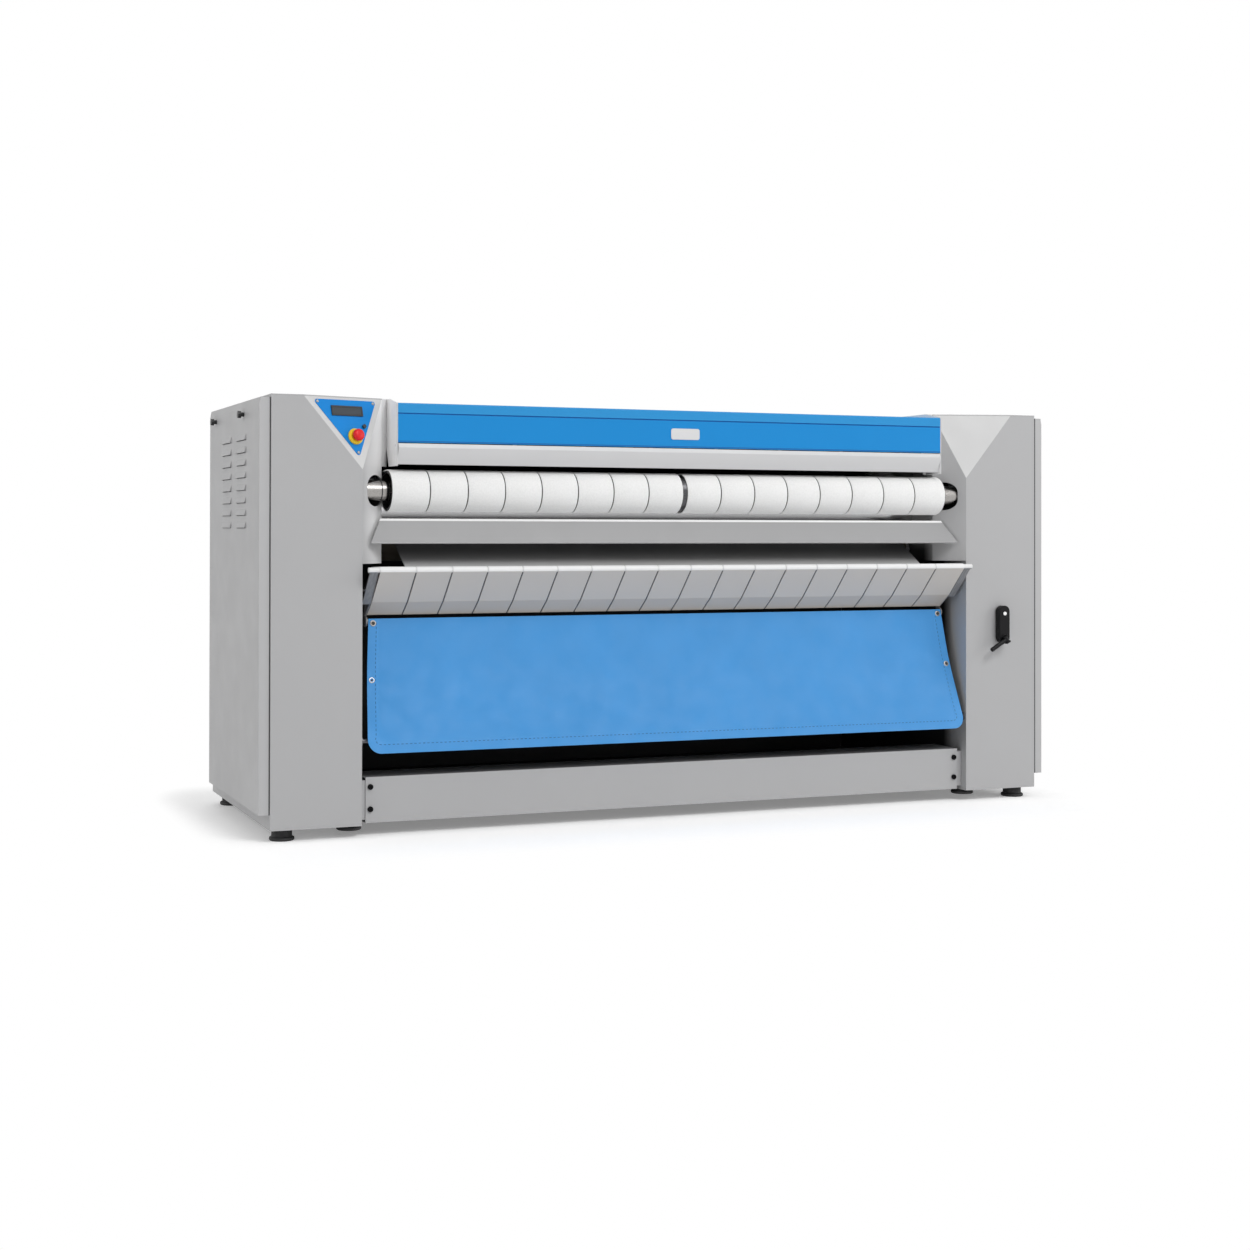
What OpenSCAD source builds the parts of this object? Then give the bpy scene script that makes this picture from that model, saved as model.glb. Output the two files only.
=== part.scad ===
// Flatwork ironer: two cabinets carry a heated cylinder, feed and ironing belts, a return table and an apron.
// Millimetres, +Z up, front faces -Y, origin on the floor under the middle of the machine.
// Most modules are drawn with Y = 0 at the cabinets' front faces, and placed() moves them into the frame.

/* [Overall] */
// Working width of the rollers and the cylinder
work_w = 1600; // [1400:20:1800]
// Height of the cabinets above the floor
body_h = 1084; // [1075:1:1150]
// Depth of the cabinets from front to back
body_d = 720; // [700:5:800]
// Height of the cabinets' undersides above the floor
floor_gap = 30; // [24:1:36]
// Thickness of the casing sheets
sheet = 3; // [2:0.5:4]

/* [Cabinets] */
// Width of a cabinet's front face
cab_w = 228; // [220:2:260]
// Depth of the slanted inner corner of each cabinet
chamfer = 67; // [60:1:72]
// Gap from the working width to the inner wall on each side
wall_gap = 5; // [4:0.5:8]
// Height of the triangular facet at the top inner corner
facet_h = 180; // [150:5:200]
// Width of the facet on the front face
facet_w = 150; // [130:5:160]
// Thickness of the base plates
base_t = 5; // [4:0.5:6]
// Thickness of the steel side frames that carry the bearings
frame_t = 6; // [5:0.5:8]
// Gap from the lower inner wall to the side frame
frame_gap = 11; // [8:1:14]
// Depth of the front panel's outer return flange
front_return = 25; // [20:1:30]
// Depth of the rear cover's outer return flange
rear_return = 100; // [80:5:120]

/* [Side panels] */
// Thickness of a side panel across the machine
panel_t = 28; // [24:1:34]
// Distance of the side panel behind the front face
panel_front = 5; // [3:1:8]
// Distance of a side panel's rear edge in front of the cabinet's back
panel_short = 92; // [80:1:110]
// Height of the side panel's lower edge
panel_low = 68; // [60:1:80]
// Distance of the side panel's top below the cabinet top
panel_drop = 8; // [6:1:12]
// Height of the bevel along the side panel's top
panel_bevel = 17; // [12:1:22]
// Wall of the side panel
panel_wall = 2; // [1.5:0.5:3]
// Radius of a quarter turn knob
knob_r = 9; // [8:0.5:11]
// Length of a quarter turn knob outside the panel
knob_l = 16; // [12:1:20]
// Width of a louvre
louvre_w = 115; // [100:1:125]
// Height of a louvre
louvre_h = 19; // [15:1:21]
// Spacing of the louvres
louvre_pitch = 31.3; // [28:0.1:34]
// Stand-out of a louvre
louvre_out = 5; // [3:0.5:7]
// Louvres in a column
louvre_n = 8; // [4:1:10]

/* [Feet and base] */
// Radius of a levelling foot's pad
foot_r = 31; // [26:1:36]
// Height of a levelling foot's pad
foot_h = 12; // [10:1:14]
// Height of the inner feet above the floor, where they are screwed up
foot_lift = 16; // [8:0.5:16]
// Radius of a foot's stud
foot_stud_r = 6; // [5:0.5:8]
// Height of the front rail
rail_h = 113; // [100:1:125]
// Distance of the rail behind the cabinets' front faces
rail_back = 21.5; // [15:0.5:30]
// Gap from each rail end to the cabinet wall
rail_gap = 15; // [10:1:20]
// Depth of the rail's top flange
rail_flange = 115; // [90:5:130]
// Radius of a rail bolt's head
bolt_head_r = 7; // [6:0.5:9]
// Radius of a rail bolt's shank
bolt_r = 4; // [3:0.5:5]

/* [Hood] */
// Distance of the hood's top below the cabinets' top
hood_drop = 14; // [10:1:16]
// Height of the hood's front from its lower edge to its top
hood_h = 98; // [90:1:105]
// Distance of the crease below the hood's top
crease_drop = 26; // [20:1:35]
// Stand-out of the hood in front of the cabinets
hood_out = 5; // [3:0.5:8]
// Gap from the hood's end to the cabinet wall
hood_gap = 21; // [18:1:24]
// Thickness of the hood sheet
hood_t = 2.5; // [2:0.5:3]
// Width of the blank label plate
label_w = 82; // [70:1:95]
// Height of the blank label plate
label_h = 29; // [24:1:34]

/* [Finger guard] */
// Distance of the finger guard's lower edge below the hood
guard_drop = 54; // [50:1:56]
// Height of the guard's pivot above its lower edge
guard_pivot_h = 47; // [44:1:48]
// Swing of the guard before its switch stops the machine
guard_swing = 8; // [4:1:10]

/* [Feed roller and belts] */
// Radius of the feed roller's core
feed_r = 50; // [46:0.5:52]
// Distance of the feed roller's axis below the cabinets' top
feed_drop = 231; // [228:1:234]
// Distance of the feed roller's axis behind the front faces
feed_y = 45; // [43:1:50]
// Radius of the feed roller's journals
journal_r = 25; // [20:1:27]
// Radius of the small roller at the back of the feed belts
return_r = 15; // [12:0.5:17]
// Thickness of the belts
belt_t = 2.7; // [2:0.1:3]
// Feed belts in each half of the machine
feed_n = 8; // [5:1:10]
// Gap between neighbouring feed belts
belt_gap = 3; // [2:0.5:5]
// Half of the wide gap in the middle
centre_gap = 7; // [5:0.5:9]

/* [Heated cylinder and ironing belts] */
// Radius of the heated cylinder
cyl_r = 162.5; // [155:0.5:166]
// Wall of the heated cylinder
cyl_wall = 6; // [5:0.5:8]
// Distance of the cylinder's axis behind the front faces
cyl_y = 310; // [308:1:320]
// Distance of the cylinder's axis below the cabinets' top
cyl_drop = 224; // [222:1:228]
// Radius of the cylinder's trunnions
trunnion_r = 30; // [28:1:34]
// Radius of the four ironing belt rollers
iron_r = 25; // [22:0.5:26]
// Ironing belts
iron_n = 8; // [4:1:10]
// Running gap between a belt and what turns inside it
belt_clear = 0.4; // [0.3:0.05:0.6]
// Radius of the roller shafts
shaft_r = 12.5; // [10:0.5:15]
// Radial running clearance of shafts in their bearings
run_clear = 0.05; // [0.03:0.01:0.1]
// Radius of the heating rods
rod_r = 6; // [4:0.5:8]
// Heating rods round the core pipe
rod_n = 6; // [4:1:8]

/* [Guide chute] */
// Distance of the chute's upper edge below the cabinets' top
chute_drop = 300; // [296:1:304]
// Height of the chute's slanted face
chute_h = 60; // [54:1:64]
// Distance of the chute's upper edge behind the front faces
chute_y_top = 40; // [36:1:44]
// Distance of the chute's lower edge behind the front faces
chute_y_low = 7; // [5:1:10]
// Gap from the chute's slanted ends to the cabinets' slanted corners
chute_gap = 16; // [12:1:20]

/* [Return table] */
// Gap from the table's ends to the cabinets
table_gap = 34; // [30:1:42]
// Stand-out of the table's nose in front of the cabinets
table_out = 42; // [36:1:50]
// Distance of the table's top below the cabinets' top
table_drop = 420; // [417:1:424]
// Radius of the nose
nose_r = 7; // [6:0.5:8]
// Distance of the bend in the underside behind the front faces
bend_y = 36; // [30:1:42]
// Distance of the bend in the underside below the table's top
bend_drop = 87; // [80:1:94]
// Distance of the underside's back edge behind the front faces
tail_y = 84; // [80:1:90]
// Distance of the underside's back edge below the table's top
tail_drop = 122; // [118:1:125]
// Strips across the table
strip_n = 18; // [12:1:20]
// Gap between the strips
strip_gap = 4; // [3:0.5:6]
// Thickness of the strips
strip_t = 1.5; // [1:0.1:2]
// Half width of the slide plate behind the nose
slide_half = 750; // [700:5:780]
// Rise of the slide plate from the table's top to its back edge
slide_rise = 60; // [51:1:64]
// Distance of the slide plate's back edge in front of the outfeed roller's axis
slide_short = 52.4; // [48:0.2:60]

/* [Apron] */
// Gap from the apron's top corners to the ends of the table's strips
apron_gap = 2; // [0:1:10]
// How much wider each side of the apron is at its hem
apron_flare = 25; // [10:1:28]
// Height of the apron's hem
apron_low = 207; // [195:1:220]
// Distance of the apron's top behind the front faces
apron_y_top = 74; // [70:1:77]
// Distance of the apron at its studs behind the front faces
apron_y_stud = 48; // [44:1:52]
// Stand-out of the apron's hem in front of the cabinets
apron_out = 15; // [8:1:22]
// Height of the side studs as a share of the apron's height
apron_stud_share = 0.572; // [0.5:0.002:0.65]
// Radius of the apron's lower corners
apron_corner = 36; // [25:1:45]
// Thickness of the apron cloth
apron_t = 3; // [2:0.5:4]
// Radius of the apron's frame tube
apron_tube_r = 6; // [5:0.5:7]

/* [Controls] */
// Thickness of the triangular control plate
plate_t = 1.5; // [1:0.1:2]
// Radius of the emergency stop's ring
ring_r = 20; // [17:0.5:21]
// Radius of the emergency stop's mushroom head
stop_r = 15; // [12:0.5:16]
// Travel of the emergency stop
stop_travel = 5; // [3:0.5:6]
// Radius of the start button
start_r = 5; // [4:0.5:6]
// Travel of the start button
start_travel = 2; // [1:0.5:2.5]
// Width of the display
display_w = 89; // [70:1:95]
// Height of the display
display_h = 25; // [20:1:28]

/* [Hand crank] */
// Distance of the crank's axis from the cabinet's inner edge
crank_in = 111; // [90:1:130]
// Distance of the crank's axis below the cabinets' top
crank_drop = 560; // [520:1:600]
// Length of the crank arm from its axis to the centre of its lower end
crank_arm = 67; // [60:1:80]
// Radius of the crank arm's round ends
crank_end_r = 16; // [15:0.5:20]
// Thickness of the crank arm
crank_t = 20; // [14:1:20]
// Length of the folding grip
grip_l = 56; // [50:1:80]
// Radius of the folding grip
grip_r = 6; // [5:0.5:8]
// Angle of the folded grip below the level
grip_angle = 31; // [15:1:60]

/* [Drive, exhaust and electrics] */
// Teeth of the cylinder's sprocket
big_teeth = 38; // [30:1:42]
// Teeth of the motor's sprocket
small_teeth = 14; // [12:1:18]
// Pitch of the drive chain
chain_pitch = 15.875; // [12.7:0.025:16]
// Distance of the gearbox shaft behind the front faces
motor_y = 500; // [480:1:520]
// Width and height of the gearbox
gearbox = 120; // [110:1:130]
// Radius of the motor
motor_r = 55; // [45:1:58]
// Length of the motor
motor_l = 190; // [150:1:220]
// Radius of the exhaust spigot
spigot_r = 50; // [40:1:60]
// Length of the spigot behind the rear cover
spigot_out = 40; // [30:1:60]
// Radius of the exhaust fan's wheel
fan_r = 78; // [60:1:80]
// Blades of the exhaust fan
fan_n = 12; // [6:1:16]
// Distance of the exhaust fan's axis below the cabinets' top
fan_drop = 184; // [164:1:224]
// Width, depth and height of the electrical box
ebox = [140, 280, 300];

/* [Hidden] */
$fn = 48;
cut = 1;
big = 3000;
root2 = sqrt(2);

grey = [0.70, 0.71, 0.72];
pale = [0.83, 0.83, 0.84];
blue = [0.18, 0.56, 0.84];
cloth_blue = [0.32, 0.60, 0.85];
steel = [0.78, 0.78, 0.80];
dark = [0.16, 0.16, 0.17];
white = [0.95, 0.95, 0.94];

// Places across the machine, measured from its middle
wall_in = work_w / 2 + wall_gap;
face_in = wall_in + chamfer;
body_half = face_in + cab_w;
frame_x = face_in + sheet + frame_gap;
bearing_x = frame_x + frame_t;
hood_half = wall_in - hood_gap;
crank_x = face_in + crank_in;
table_half = face_in - table_gap;
apron_half_top = table_half - apron_gap;
apron_half_low = apron_half_top + apron_flare;
// Heights: the works hang from the cabinets' top
hood_top = body_h - hood_drop;
hood_low = hood_top - hood_h;
hood_crease = hood_top - crease_drop;
guard_low = hood_low - guard_drop;
feed_z = body_h - feed_drop;
cyl_z = body_h - cyl_drop;
chute_top = body_h - chute_drop;
chute_low = chute_top - chute_h;
table_top = body_h - table_drop;
bend_z = table_top - bend_drop;
tail_z = table_top - tail_drop;
slide_z = table_top + slide_rise;
crank_z = body_h - crank_drop;
fan_z = body_h - fan_drop;
// Depths: the machine reaches from the table's nose to the end of the spigot
front_y = -(body_d + spigot_out - table_out) / 2;
rear_in = body_d - sheet;
// The shoulders that carry the slanted corners start above the table
shoulder_gap = 8;
shoulder_z = table_top + shoulder_gap;
floor_top = floor_gap + base_t;
roof = body_h - sheet;

module placed() translate([0, front_y, 0]) children();
module both() { children(); mirror([1, 0, 0]) children(); }
module left() mirror([1, 0, 0]) children();
// Extrudes a shape drawn in depth and height across the machine from x0 to x1
module across(x0, x1) translate([x0, 0, 0]) rotate([90, 0, 90]) linear_extrude(x1 - x0) children();
// Extrudes a shape drawn in width and height from depth y0 back to y1
module along(y0, y1) translate([0, y1, 0]) rotate([90, 0, 0]) linear_extrude(y1 - y0) children();
// A block between two corners
module block(low, high) translate(low) cube(high - low);
// A shaft or hole across the machine at depth y and height z
module rod_x(x0, x1, y, z, r) translate([x0, y, z]) rotate([0, 90, 0]) cylinder(h = x1 - x0, r = r);
module rod_y(y0, y1, x, z, r) translate([x, y0, z]) rotate([-90, 0, 0]) cylinder(h = y1 - y0, r = r);

// Mitred offset of an open line of points to its left by t
function unit(v) = v / norm(v);
function left_of(a, b) = let (u = unit(b - a)) [-u[1], u[0]];
function offset_point(p, i, t) =
  let (n = len(p) - 1, a = i > 0 ? left_of(p[i - 1], p[i]) : left_of(p[0], p[1]),
    b = i < n ? left_of(p[i], p[i + 1]) : a)
  p[i] + t * (a + b) / (1 + a * b);
function offset_line(p, t) = [for (i = [0 : len(p) - 1]) offset_point(p, i, t)];
function reversed(p) = [for (i = [len(p) - 1 : -1 : 0]) p[i]];
// A bent sheet of thickness t on the left side of a line of points
module bent(p, t) polygon(concat(p, reversed(offset_line(p, t))));

// A belt line round wheels [y, z, radius, side]: side is 1 where the wheel is inside the loop
function tangent_angle(a, b) =
  let (d = [b[0] - a[0], b[1] - a[1]])
  atan2(d[1], d[0]) + asin(max(-1, min(1, (a[3] * a[2] - b[3] * b[2]) / norm(d))));
function turn(from, to, side) = let (d = (to - from) * side) (d - 360 * floor(d / 360)) * side;
// Where the belt lies outside a wheel, its flats are tangent to the circle, and shorter
outside_share = 0.4;
function wheel_points(w, from, to, step) =
  let (sweep = turn(from, to, w[3]), n = max(1, ceil(abs(sweep) / (w[3] > 0 ? step : step * outside_share))),
    r = w[3] > 0 ? w[2] : w[2] / cos(sweep / n / 2))
  [for (i = [0 : n]) let (a = from + sweep * i / n)
    [w[0], w[1]] + w[3] * r * [sin(a), -cos(a)]];
function belt_line(ws, step) =
  let (n = len(ws), t = [for (i = [0 : n - 1]) tangent_angle(ws[i], ws[(i + 1) % n])])
  [for (i = [0 : n - 1]) each wheel_points(ws[i], t[(i + n - 1) % n], t[i], step)];
// The same wheels with their radii grown to a line at distance g outside the loop's inner side
function grown(ws, inner, t) =
  [for (w = ws) [w[0], w[1], w[2] + (w[3] > 0 ? inner : belt_clear + t), w[3]]];
module belt_shape(ws, step) difference() {
  polygon(belt_line(grown(ws, belt_clear + belt_t, 0), step));
  polygon(belt_line(grown(ws, belt_clear, belt_t), step));
}

// Cabinet casing: outside solid, inside space and the facet that cuts their corner
facet_corner = [face_in + facet_w, 0, body_h];
facet_normal = [-chamfer * facet_h, -(chamfer + facet_w) * facet_h, chamfer * facet_w];
facet_tilt = acos(facet_normal[2] / norm(facet_normal));
facet_turn = atan2(facet_normal[1], facet_normal[0]);
// Local frame on the right facet: z out of it, x down it, -y from its outer corner inwards
module on_facet() translate(facet_corner) rotate([0, facet_tilt, facet_turn]) children();
module facet_cut(inset) on_facet() translate([-big / 2, -big / 2, -inset]) cube([big, big, big]);
module cab_solid(inset, low, high, step_z) {
  lean = inset * (root2 - 1);
  difference() {
    union() {
      translate([0, 0, low]) linear_extrude(high - low)
        polygon([[face_in + inset, inset], [body_half - inset, inset],
          [body_half - inset, body_d - inset], [face_in + inset, body_d - inset]]);
      translate([0, 0, step_z]) linear_extrude(high - step_z)
        polygon([[face_in + lean, inset], [body_half - inset, inset],
          [body_half - inset, body_d - inset], [wall_in + inset, body_d - inset],
          [wall_in + inset, chamfer + lean]]);
    }
    facet_cut(inset);
  }
}
module cab_shell() difference() {
  cab_solid(0, floor_gap, body_h, shoulder_z);
  cab_solid(sheet, floor_top, roof, shoulder_z + sheet);
  roller_passages();
}

// Rollers that turn on shafts through the inner walls: [depth, height, radius]
press_angle = 125;
press_reach = cyl_r + belt_clear + belt_t + belt_clear + iron_r;
press_at = [cyl_y + press_reach * cos(press_angle), cyl_z + press_reach * sin(press_angle)];
out_at = [cyl_y + press_reach * cos(press_angle), cyl_z - press_reach * sin(press_angle)];
guide_back = 155;
guide_y = body_d - guide_back;
guide_drop = 85;
tension_drop = 150;
guide_at = [guide_y, body_h - guide_drop];
tension_at = [guide_y, cyl_z - tension_drop];
return_dy = 80;
return_dz = 30;
return_at = [feed_y + return_dy, feed_z + return_dz];
small_shafts = [return_at, press_at, out_at, guide_at, tension_at];
passage = 5;
slot_half = 28;
slot_rise = 11;
// Openings in the inner walls for the journals, the shafts and the trunnion
module roller_passages() {
  for (dz = [-slot_rise, slot_rise])
    rod_x(wall_in - cut, face_in, feed_y, feed_z + dz, slot_half);
  block([wall_in - cut, feed_y - slot_half, feed_z - slot_rise],
    [face_in, feed_y + slot_half, feed_z + slot_rise]);
  for (s = small_shafts) rod_x(wall_in - cut, face_in, s[0], s[1], shaft_r + passage);
  rod_x(wall_in - cut, face_in, cyl_y, cyl_z, trunnion_r + passage);
}
// The front panel takes the shell's front: deep at the inner corner, shallow at the outer edge
panel_split = face_in + facet_w + sheet;
module front_zone() {
  block([wall_in - cut, -cut, floor_top], [panel_split, chamfer, roof]);
  block([panel_split - cut, -cut, floor_top], [body_half + cut, front_return, roof]);
}
module front_panel() intersection() { cab_shell(); front_zone(); }

module left_front_panel() color(grey) placed() left() difference() {
  front_panel();
  on_facet() translate([stop_at[1], -stop_at[0], 0]) stop_hole();
  on_facet() translate([start_at[1], -start_at[0], 0]) start_hole();
}
module right_front_panel() color(grey) placed() difference() {
  front_panel();
  rod_y(-cut, sheet + cut, crank_x, crank_z, bush_r);
}
flange_drop = 27;
module top_cover() {
  intersection() {
    cab_solid(0, floor_gap, body_h, shoulder_z);
    block([wall_in - cut, -cut, roof], [body_half + cut, body_d + cut, body_h]);
  }
  block([body_half - sheet, front_return, roof - flange_drop],
    [body_half, body_d - rear_return, roof + cut]);
}
module top_covers() color(grey) placed() both() top_cover();
module inner_walls() color(grey) placed() both() intersection() {
  cab_shell();
  block([wall_in - cut, chamfer, floor_top], [face_in + sheet, rear_in, roof]);
}
// Opening in the left rear cover for the exhaust spigot
module rear_cover() intersection() {
  cab_shell();
  union() {
    block([wall_in - cut, rear_in, floor_top], [body_half + cut, body_d + cut, roof]);
    block([body_half - sheet, body_d - rear_return, floor_top], [body_half + cut, body_d, roof]);
  }
}
module rear_covers() color(grey) placed() {
  rear_cover();
  left() difference() {
    rear_cover();
    rod_y(rear_in - cut, body_d + cut, fan_x, fan_z, spigot_r + belt_clear);
  }
}
base_flange = 55;
module base_plate() difference() {
  union() {
    block([face_in, 0, floor_gap], [body_half, body_d, floor_top]);
    block([body_half - sheet, front_return, floor_top],
      [body_half, body_d - rear_return, floor_top + base_flange]);
  }
  for (p = foot_places)
    translate([p[0], p[1], floor_gap - cut]) cylinder(h = base_t + cut + cut, r = foot_stud_r + stud_clear);
}
module base_plates() color(grey) placed() both() base_plate();

// Side frames: steel plates on the base plates, with clearance holes for every shaft
frame_front = 6;
frame_back = 30;
frame_drop = 24;
frame_notch = 90;
frame_notch_h = 199;
frame_notch_top = 124;
frame_hole = 6;
foot_window = 32;
module side_frame() difference() {
  across(frame_x, bearing_x) polygon([[frame_front, floor_top], [body_d - frame_back, floor_top],
    [body_d - frame_back, body_h - frame_drop], [frame_notch, body_h - frame_drop],
    [frame_notch, body_h - frame_notch_top], [frame_front, body_h - frame_notch_h]]);
  for (y = [foot_front, body_d - foot_rear])
    block([frame_x - cut, y - foot_window / 2, floor_top - cut],
      [bearing_x + cut, y + foot_window / 2, floor_top + foot_window]);
  rod_x(frame_x - cut, bearing_x + cut, feed_y, feed_z, shaft_r + frame_hole);
  rod_x(frame_x - cut, bearing_x + cut, cyl_y, cyl_z, trunnion_r + frame_hole);
  for (s = small_shafts)
    rod_x(frame_x - cut, bearing_x + cut, s[0], s[1], shaft_r + frame_hole);
}
module side_frames() color(steel) placed() both() side_frame();

// Bearings: square flanges on the outer faces of the side frames
flange_t = 12;
boss_t = 8;
flange_half = 27;
boss_r = 22;
cyl_flange_half = 60;
cyl_boss_r = 45;
module bearing(y, z, r, half, boss) difference() {
  union() {
    block([bearing_x, y - half, z - half], [bearing_x + flange_t, y + half, z + half]);
    rod_x(bearing_x, bearing_x + flange_t + boss_t, y, z, boss);
  }
  rod_x(bearing_x - cut, bearing_x + flange_t + boss_t + cut, y, z, r + run_clear);
}
module shaft_bearings() color([0.35, 0.37, 0.40]) placed() both() {
  bearing(feed_y, feed_z, shaft_r, flange_half, boss_r);
  bearing(cyl_y, cyl_z, trunnion_r, cyl_flange_half, cyl_boss_r);
  for (s = small_shafts) bearing(s[0], s[1], shaft_r, flange_half, boss_r);
}
shaft_end = bearing_x + flange_t + boss_t + 2 * run_clear;
shaft_over = 3;
shaft_tip = shaft_end + shaft_over;
// The drive's sprockets run just outside the shafts' ends
sprocket_gap = 4;
sprocket_t = 8;
sprocket_x = shaft_tip + sprocket_gap / 2;
trunnion_end = sprocket_x + sprocket_t + sprocket_gap;

// Feet, rail and base
foot_in = 20;
foot_out = 40;
foot_front = 50;
foot_rear = 60;
stud_clear = 0.5;
nut_r = 12;
nut_h = 8;
// The outer feet stand on the floor and the inner ones hang above it: [width, depth, lift]
foot_places = [for (p = [[face_in + foot_in, foot_lift], [body_half - foot_out, 0]])
  for (y = [foot_front, body_d - foot_rear]) [p[0], y, p[1]]];
foot_cone_share = 0.55;
module levelling_foot(lift) {
  pad_h = foot_h * 2 / 3;
  translate([0, 0, lift]) {
    cylinder(h = pad_h, r = foot_r);
    translate([0, 0, pad_h]) cylinder(h = foot_h - pad_h, r1 = foot_r * foot_cone_share + nut_r / 2, r2 = nut_r);
    cylinder(h = floor_top + nut_h + shaft_over, r = foot_stud_r);
  }
  translate([0, 0, lift + foot_h]) cylinder(h = floor_gap - foot_h - lift, r = nut_r, $fn = 6);
  translate([0, 0, floor_top]) cylinder(h = nut_h, r = nut_r, $fn = 6);
}
module levelling_feet() color(dark) placed() both()
  for (p = foot_places) translate([p[0], p[1], 0]) levelling_foot(p[2]);
rail_low = floor_gap + sheet;
rail_top = rail_low + rail_h;
rail_half = face_in - rail_gap;
rail_lip = 35;
module front_rail() color(grey) placed() difference() {
  across(-rail_half, rail_half) bent([[rail_back + rail_lip, rail_low], [rail_back, rail_low],
    [rail_back, rail_top], [rail_back + rail_flange, rail_top]], -sheet);
  for (x = [-bolt_x, bolt_x]) for (z = bolt_zs)
    rod_y(rail_back - cut, rail_back + sheet + cut, x, z, bolt_r + bolt_clear);
}
bolt_inset = 12;
bolt_clear = 0.3;
bolt_edge = 34;
bolt_x = rail_half - bolt_inset;
bolt_zs = [rail_low + bolt_edge, rail_top - bolt_edge / root2];
bracket_t = 5;
bracket_w = 37;
bracket_d = 45;
bracket_y = rail_back + sheet;
module rail_bracket() difference() {
  union() {
    block([face_in - bracket_w, bracket_y, rail_low + sheet + bracket_t],
      [face_in, bracket_y + bracket_t, rail_top - sheet - bracket_t]);
    block([face_in - bracket_t, bracket_y, rail_low + sheet + bracket_t],
      [face_in, bracket_y + bracket_d, rail_top - sheet - bracket_t]);
  }
  for (z = bolt_zs) rod_y(bracket_y - cut, bracket_y + bracket_t + cut, bolt_x, z, bolt_r + bolt_clear);
}
module rail_brackets() color(steel) placed() both() rail_bracket();
bolt_head_h = 5;
module rail_bolts() color(dark) placed() both() for (z = bolt_zs) {
  rod_y(rail_back - bolt_head_h, rail_back, bolt_x, z, bolt_head_r);
  rod_y(rail_back - bolt_head_h, bracket_y + bracket_t + bolt_head_h, bolt_x, z, bolt_r);
}
pan_t = 2;
pan_low = rail_low + sheet;
tie = 40;
tie_wall = 3;
tie_back = 80;
tie_drop = 60;
module base_pan() color(grey) placed()
  block([-rail_half, rail_back + sheet, pan_low], [rail_half, body_d - tie_back + tie, pan_low + pan_t]);
module tie_bar(z, half) difference() {
  block([-half, body_d - tie_back, z], [half, body_d - tie_back + tie, z + tie]);
  block([-half - cut, body_d - tie_back + tie_wall, z + tie_wall],
    [half + cut, body_d - tie_back + tie - tie_wall, z + tie - tie_wall]);
}
module rear_tie_bars() color(grey) placed() {
  tie_bar(pan_low + pan_t, face_in);
  tie_bar(hood_top - hood_t - tie, wall_in - hood_gap);
}
panel_y = body_d - tie_back + tie;
module rear_panel() color(grey) placed() along(panel_y, panel_y + sheet)
  polygon([[-face_in, pan_low], [face_in, pan_low], [face_in, shoulder_z], [wall_in, shoulder_z],
    [wall_in, hood_top - tie_drop], [hood_half, hood_top - tie_drop], [hood_half, hood_top - hood_t],
    [-hood_half, hood_top - hood_t], [-hood_half, hood_top - tie_drop], [-wall_in, hood_top - tie_drop],
    [-wall_in, shoulder_z], [-face_in, shoulder_z]]);

// Hood, its end plates and the blank label plate
groove = 1.5;
hem = 6;
hood_tail = 60;
hood_back = panel_y + sheet;
module hood() color(blue) placed() across(-hood_half, hood_half)
  bent([[hood_t - hood_out + hem, hood_low], [-hood_out, hood_low], [-hood_out, hood_crease - groove],
    [groove - hood_out, hood_crease], [-hood_out, hood_crease + groove],
    [-hood_out, hood_top - hem / 2], [hem / 2 - hood_out, hood_top],
    [hood_back + hood_t, hood_top], [hood_back + hood_t, hood_top - hood_tail]], -hood_t);
end_drop = 29;
end_rise = 8;
end_back = 20;
end_low = guard_low - end_rise / 2;
end_step = 53;
module hood_end_plate() {
  low_back = roof - end_drop;
  difference() {
    across(hood_half, hood_half + sheet) polygon([[-hood_out, end_low], [-hood_out, hood_top],
      [chamfer, body_h], [hood_back, body_h], [hood_back, low_back],
      [chamfer + end_step, low_back], [chamfer, end_low]]);
    rod_x(hood_half - cut, hood_half + sheet + cut, guard_y, guard_z, guard_pin_r + run_clear);
  }
  // The closure runs on at the slant of the cabinet's corner
  cheek = wall_in - hood_half - sheet;
  translate([0, 0, roof]) linear_extrude(body_h - roof) polygon([[wall_in, chamfer],
    [wall_in, hood_back], [wall_in - cheek, hood_back], [wall_in - cheek, chamfer + cheek]]);
  translate([0, 0, end_low]) linear_extrude(roof - end_low) polygon([[wall_in, chamfer],
    [wall_in, chamfer + sheet * root2], [wall_in - cheek, chamfer + cheek + sheet * root2],
    [wall_in - cheek, chamfer + cheek]]);
}
module hood_end_plates() color(pale) placed() both() hood_end_plate();
label_drop = 62;
label_z = hood_top - label_drop;
label_r = 6;
label_t = 1.5;
module label_plate() color(pale) placed() along(-hood_out - label_t, -hood_out)
  translate([-label_w / 2, label_z - label_h / 2]) rounded(label_w, label_h, label_r);
module rounded(w, h, r) {
  translate([r, 0]) square([w - 2 * r, h]);
  translate([0, r]) square([w, h - 2 * r]);
  for (x = [r, w - r]) for (y = [r, h - r]) translate([x, y]) circle(r);
}

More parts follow.
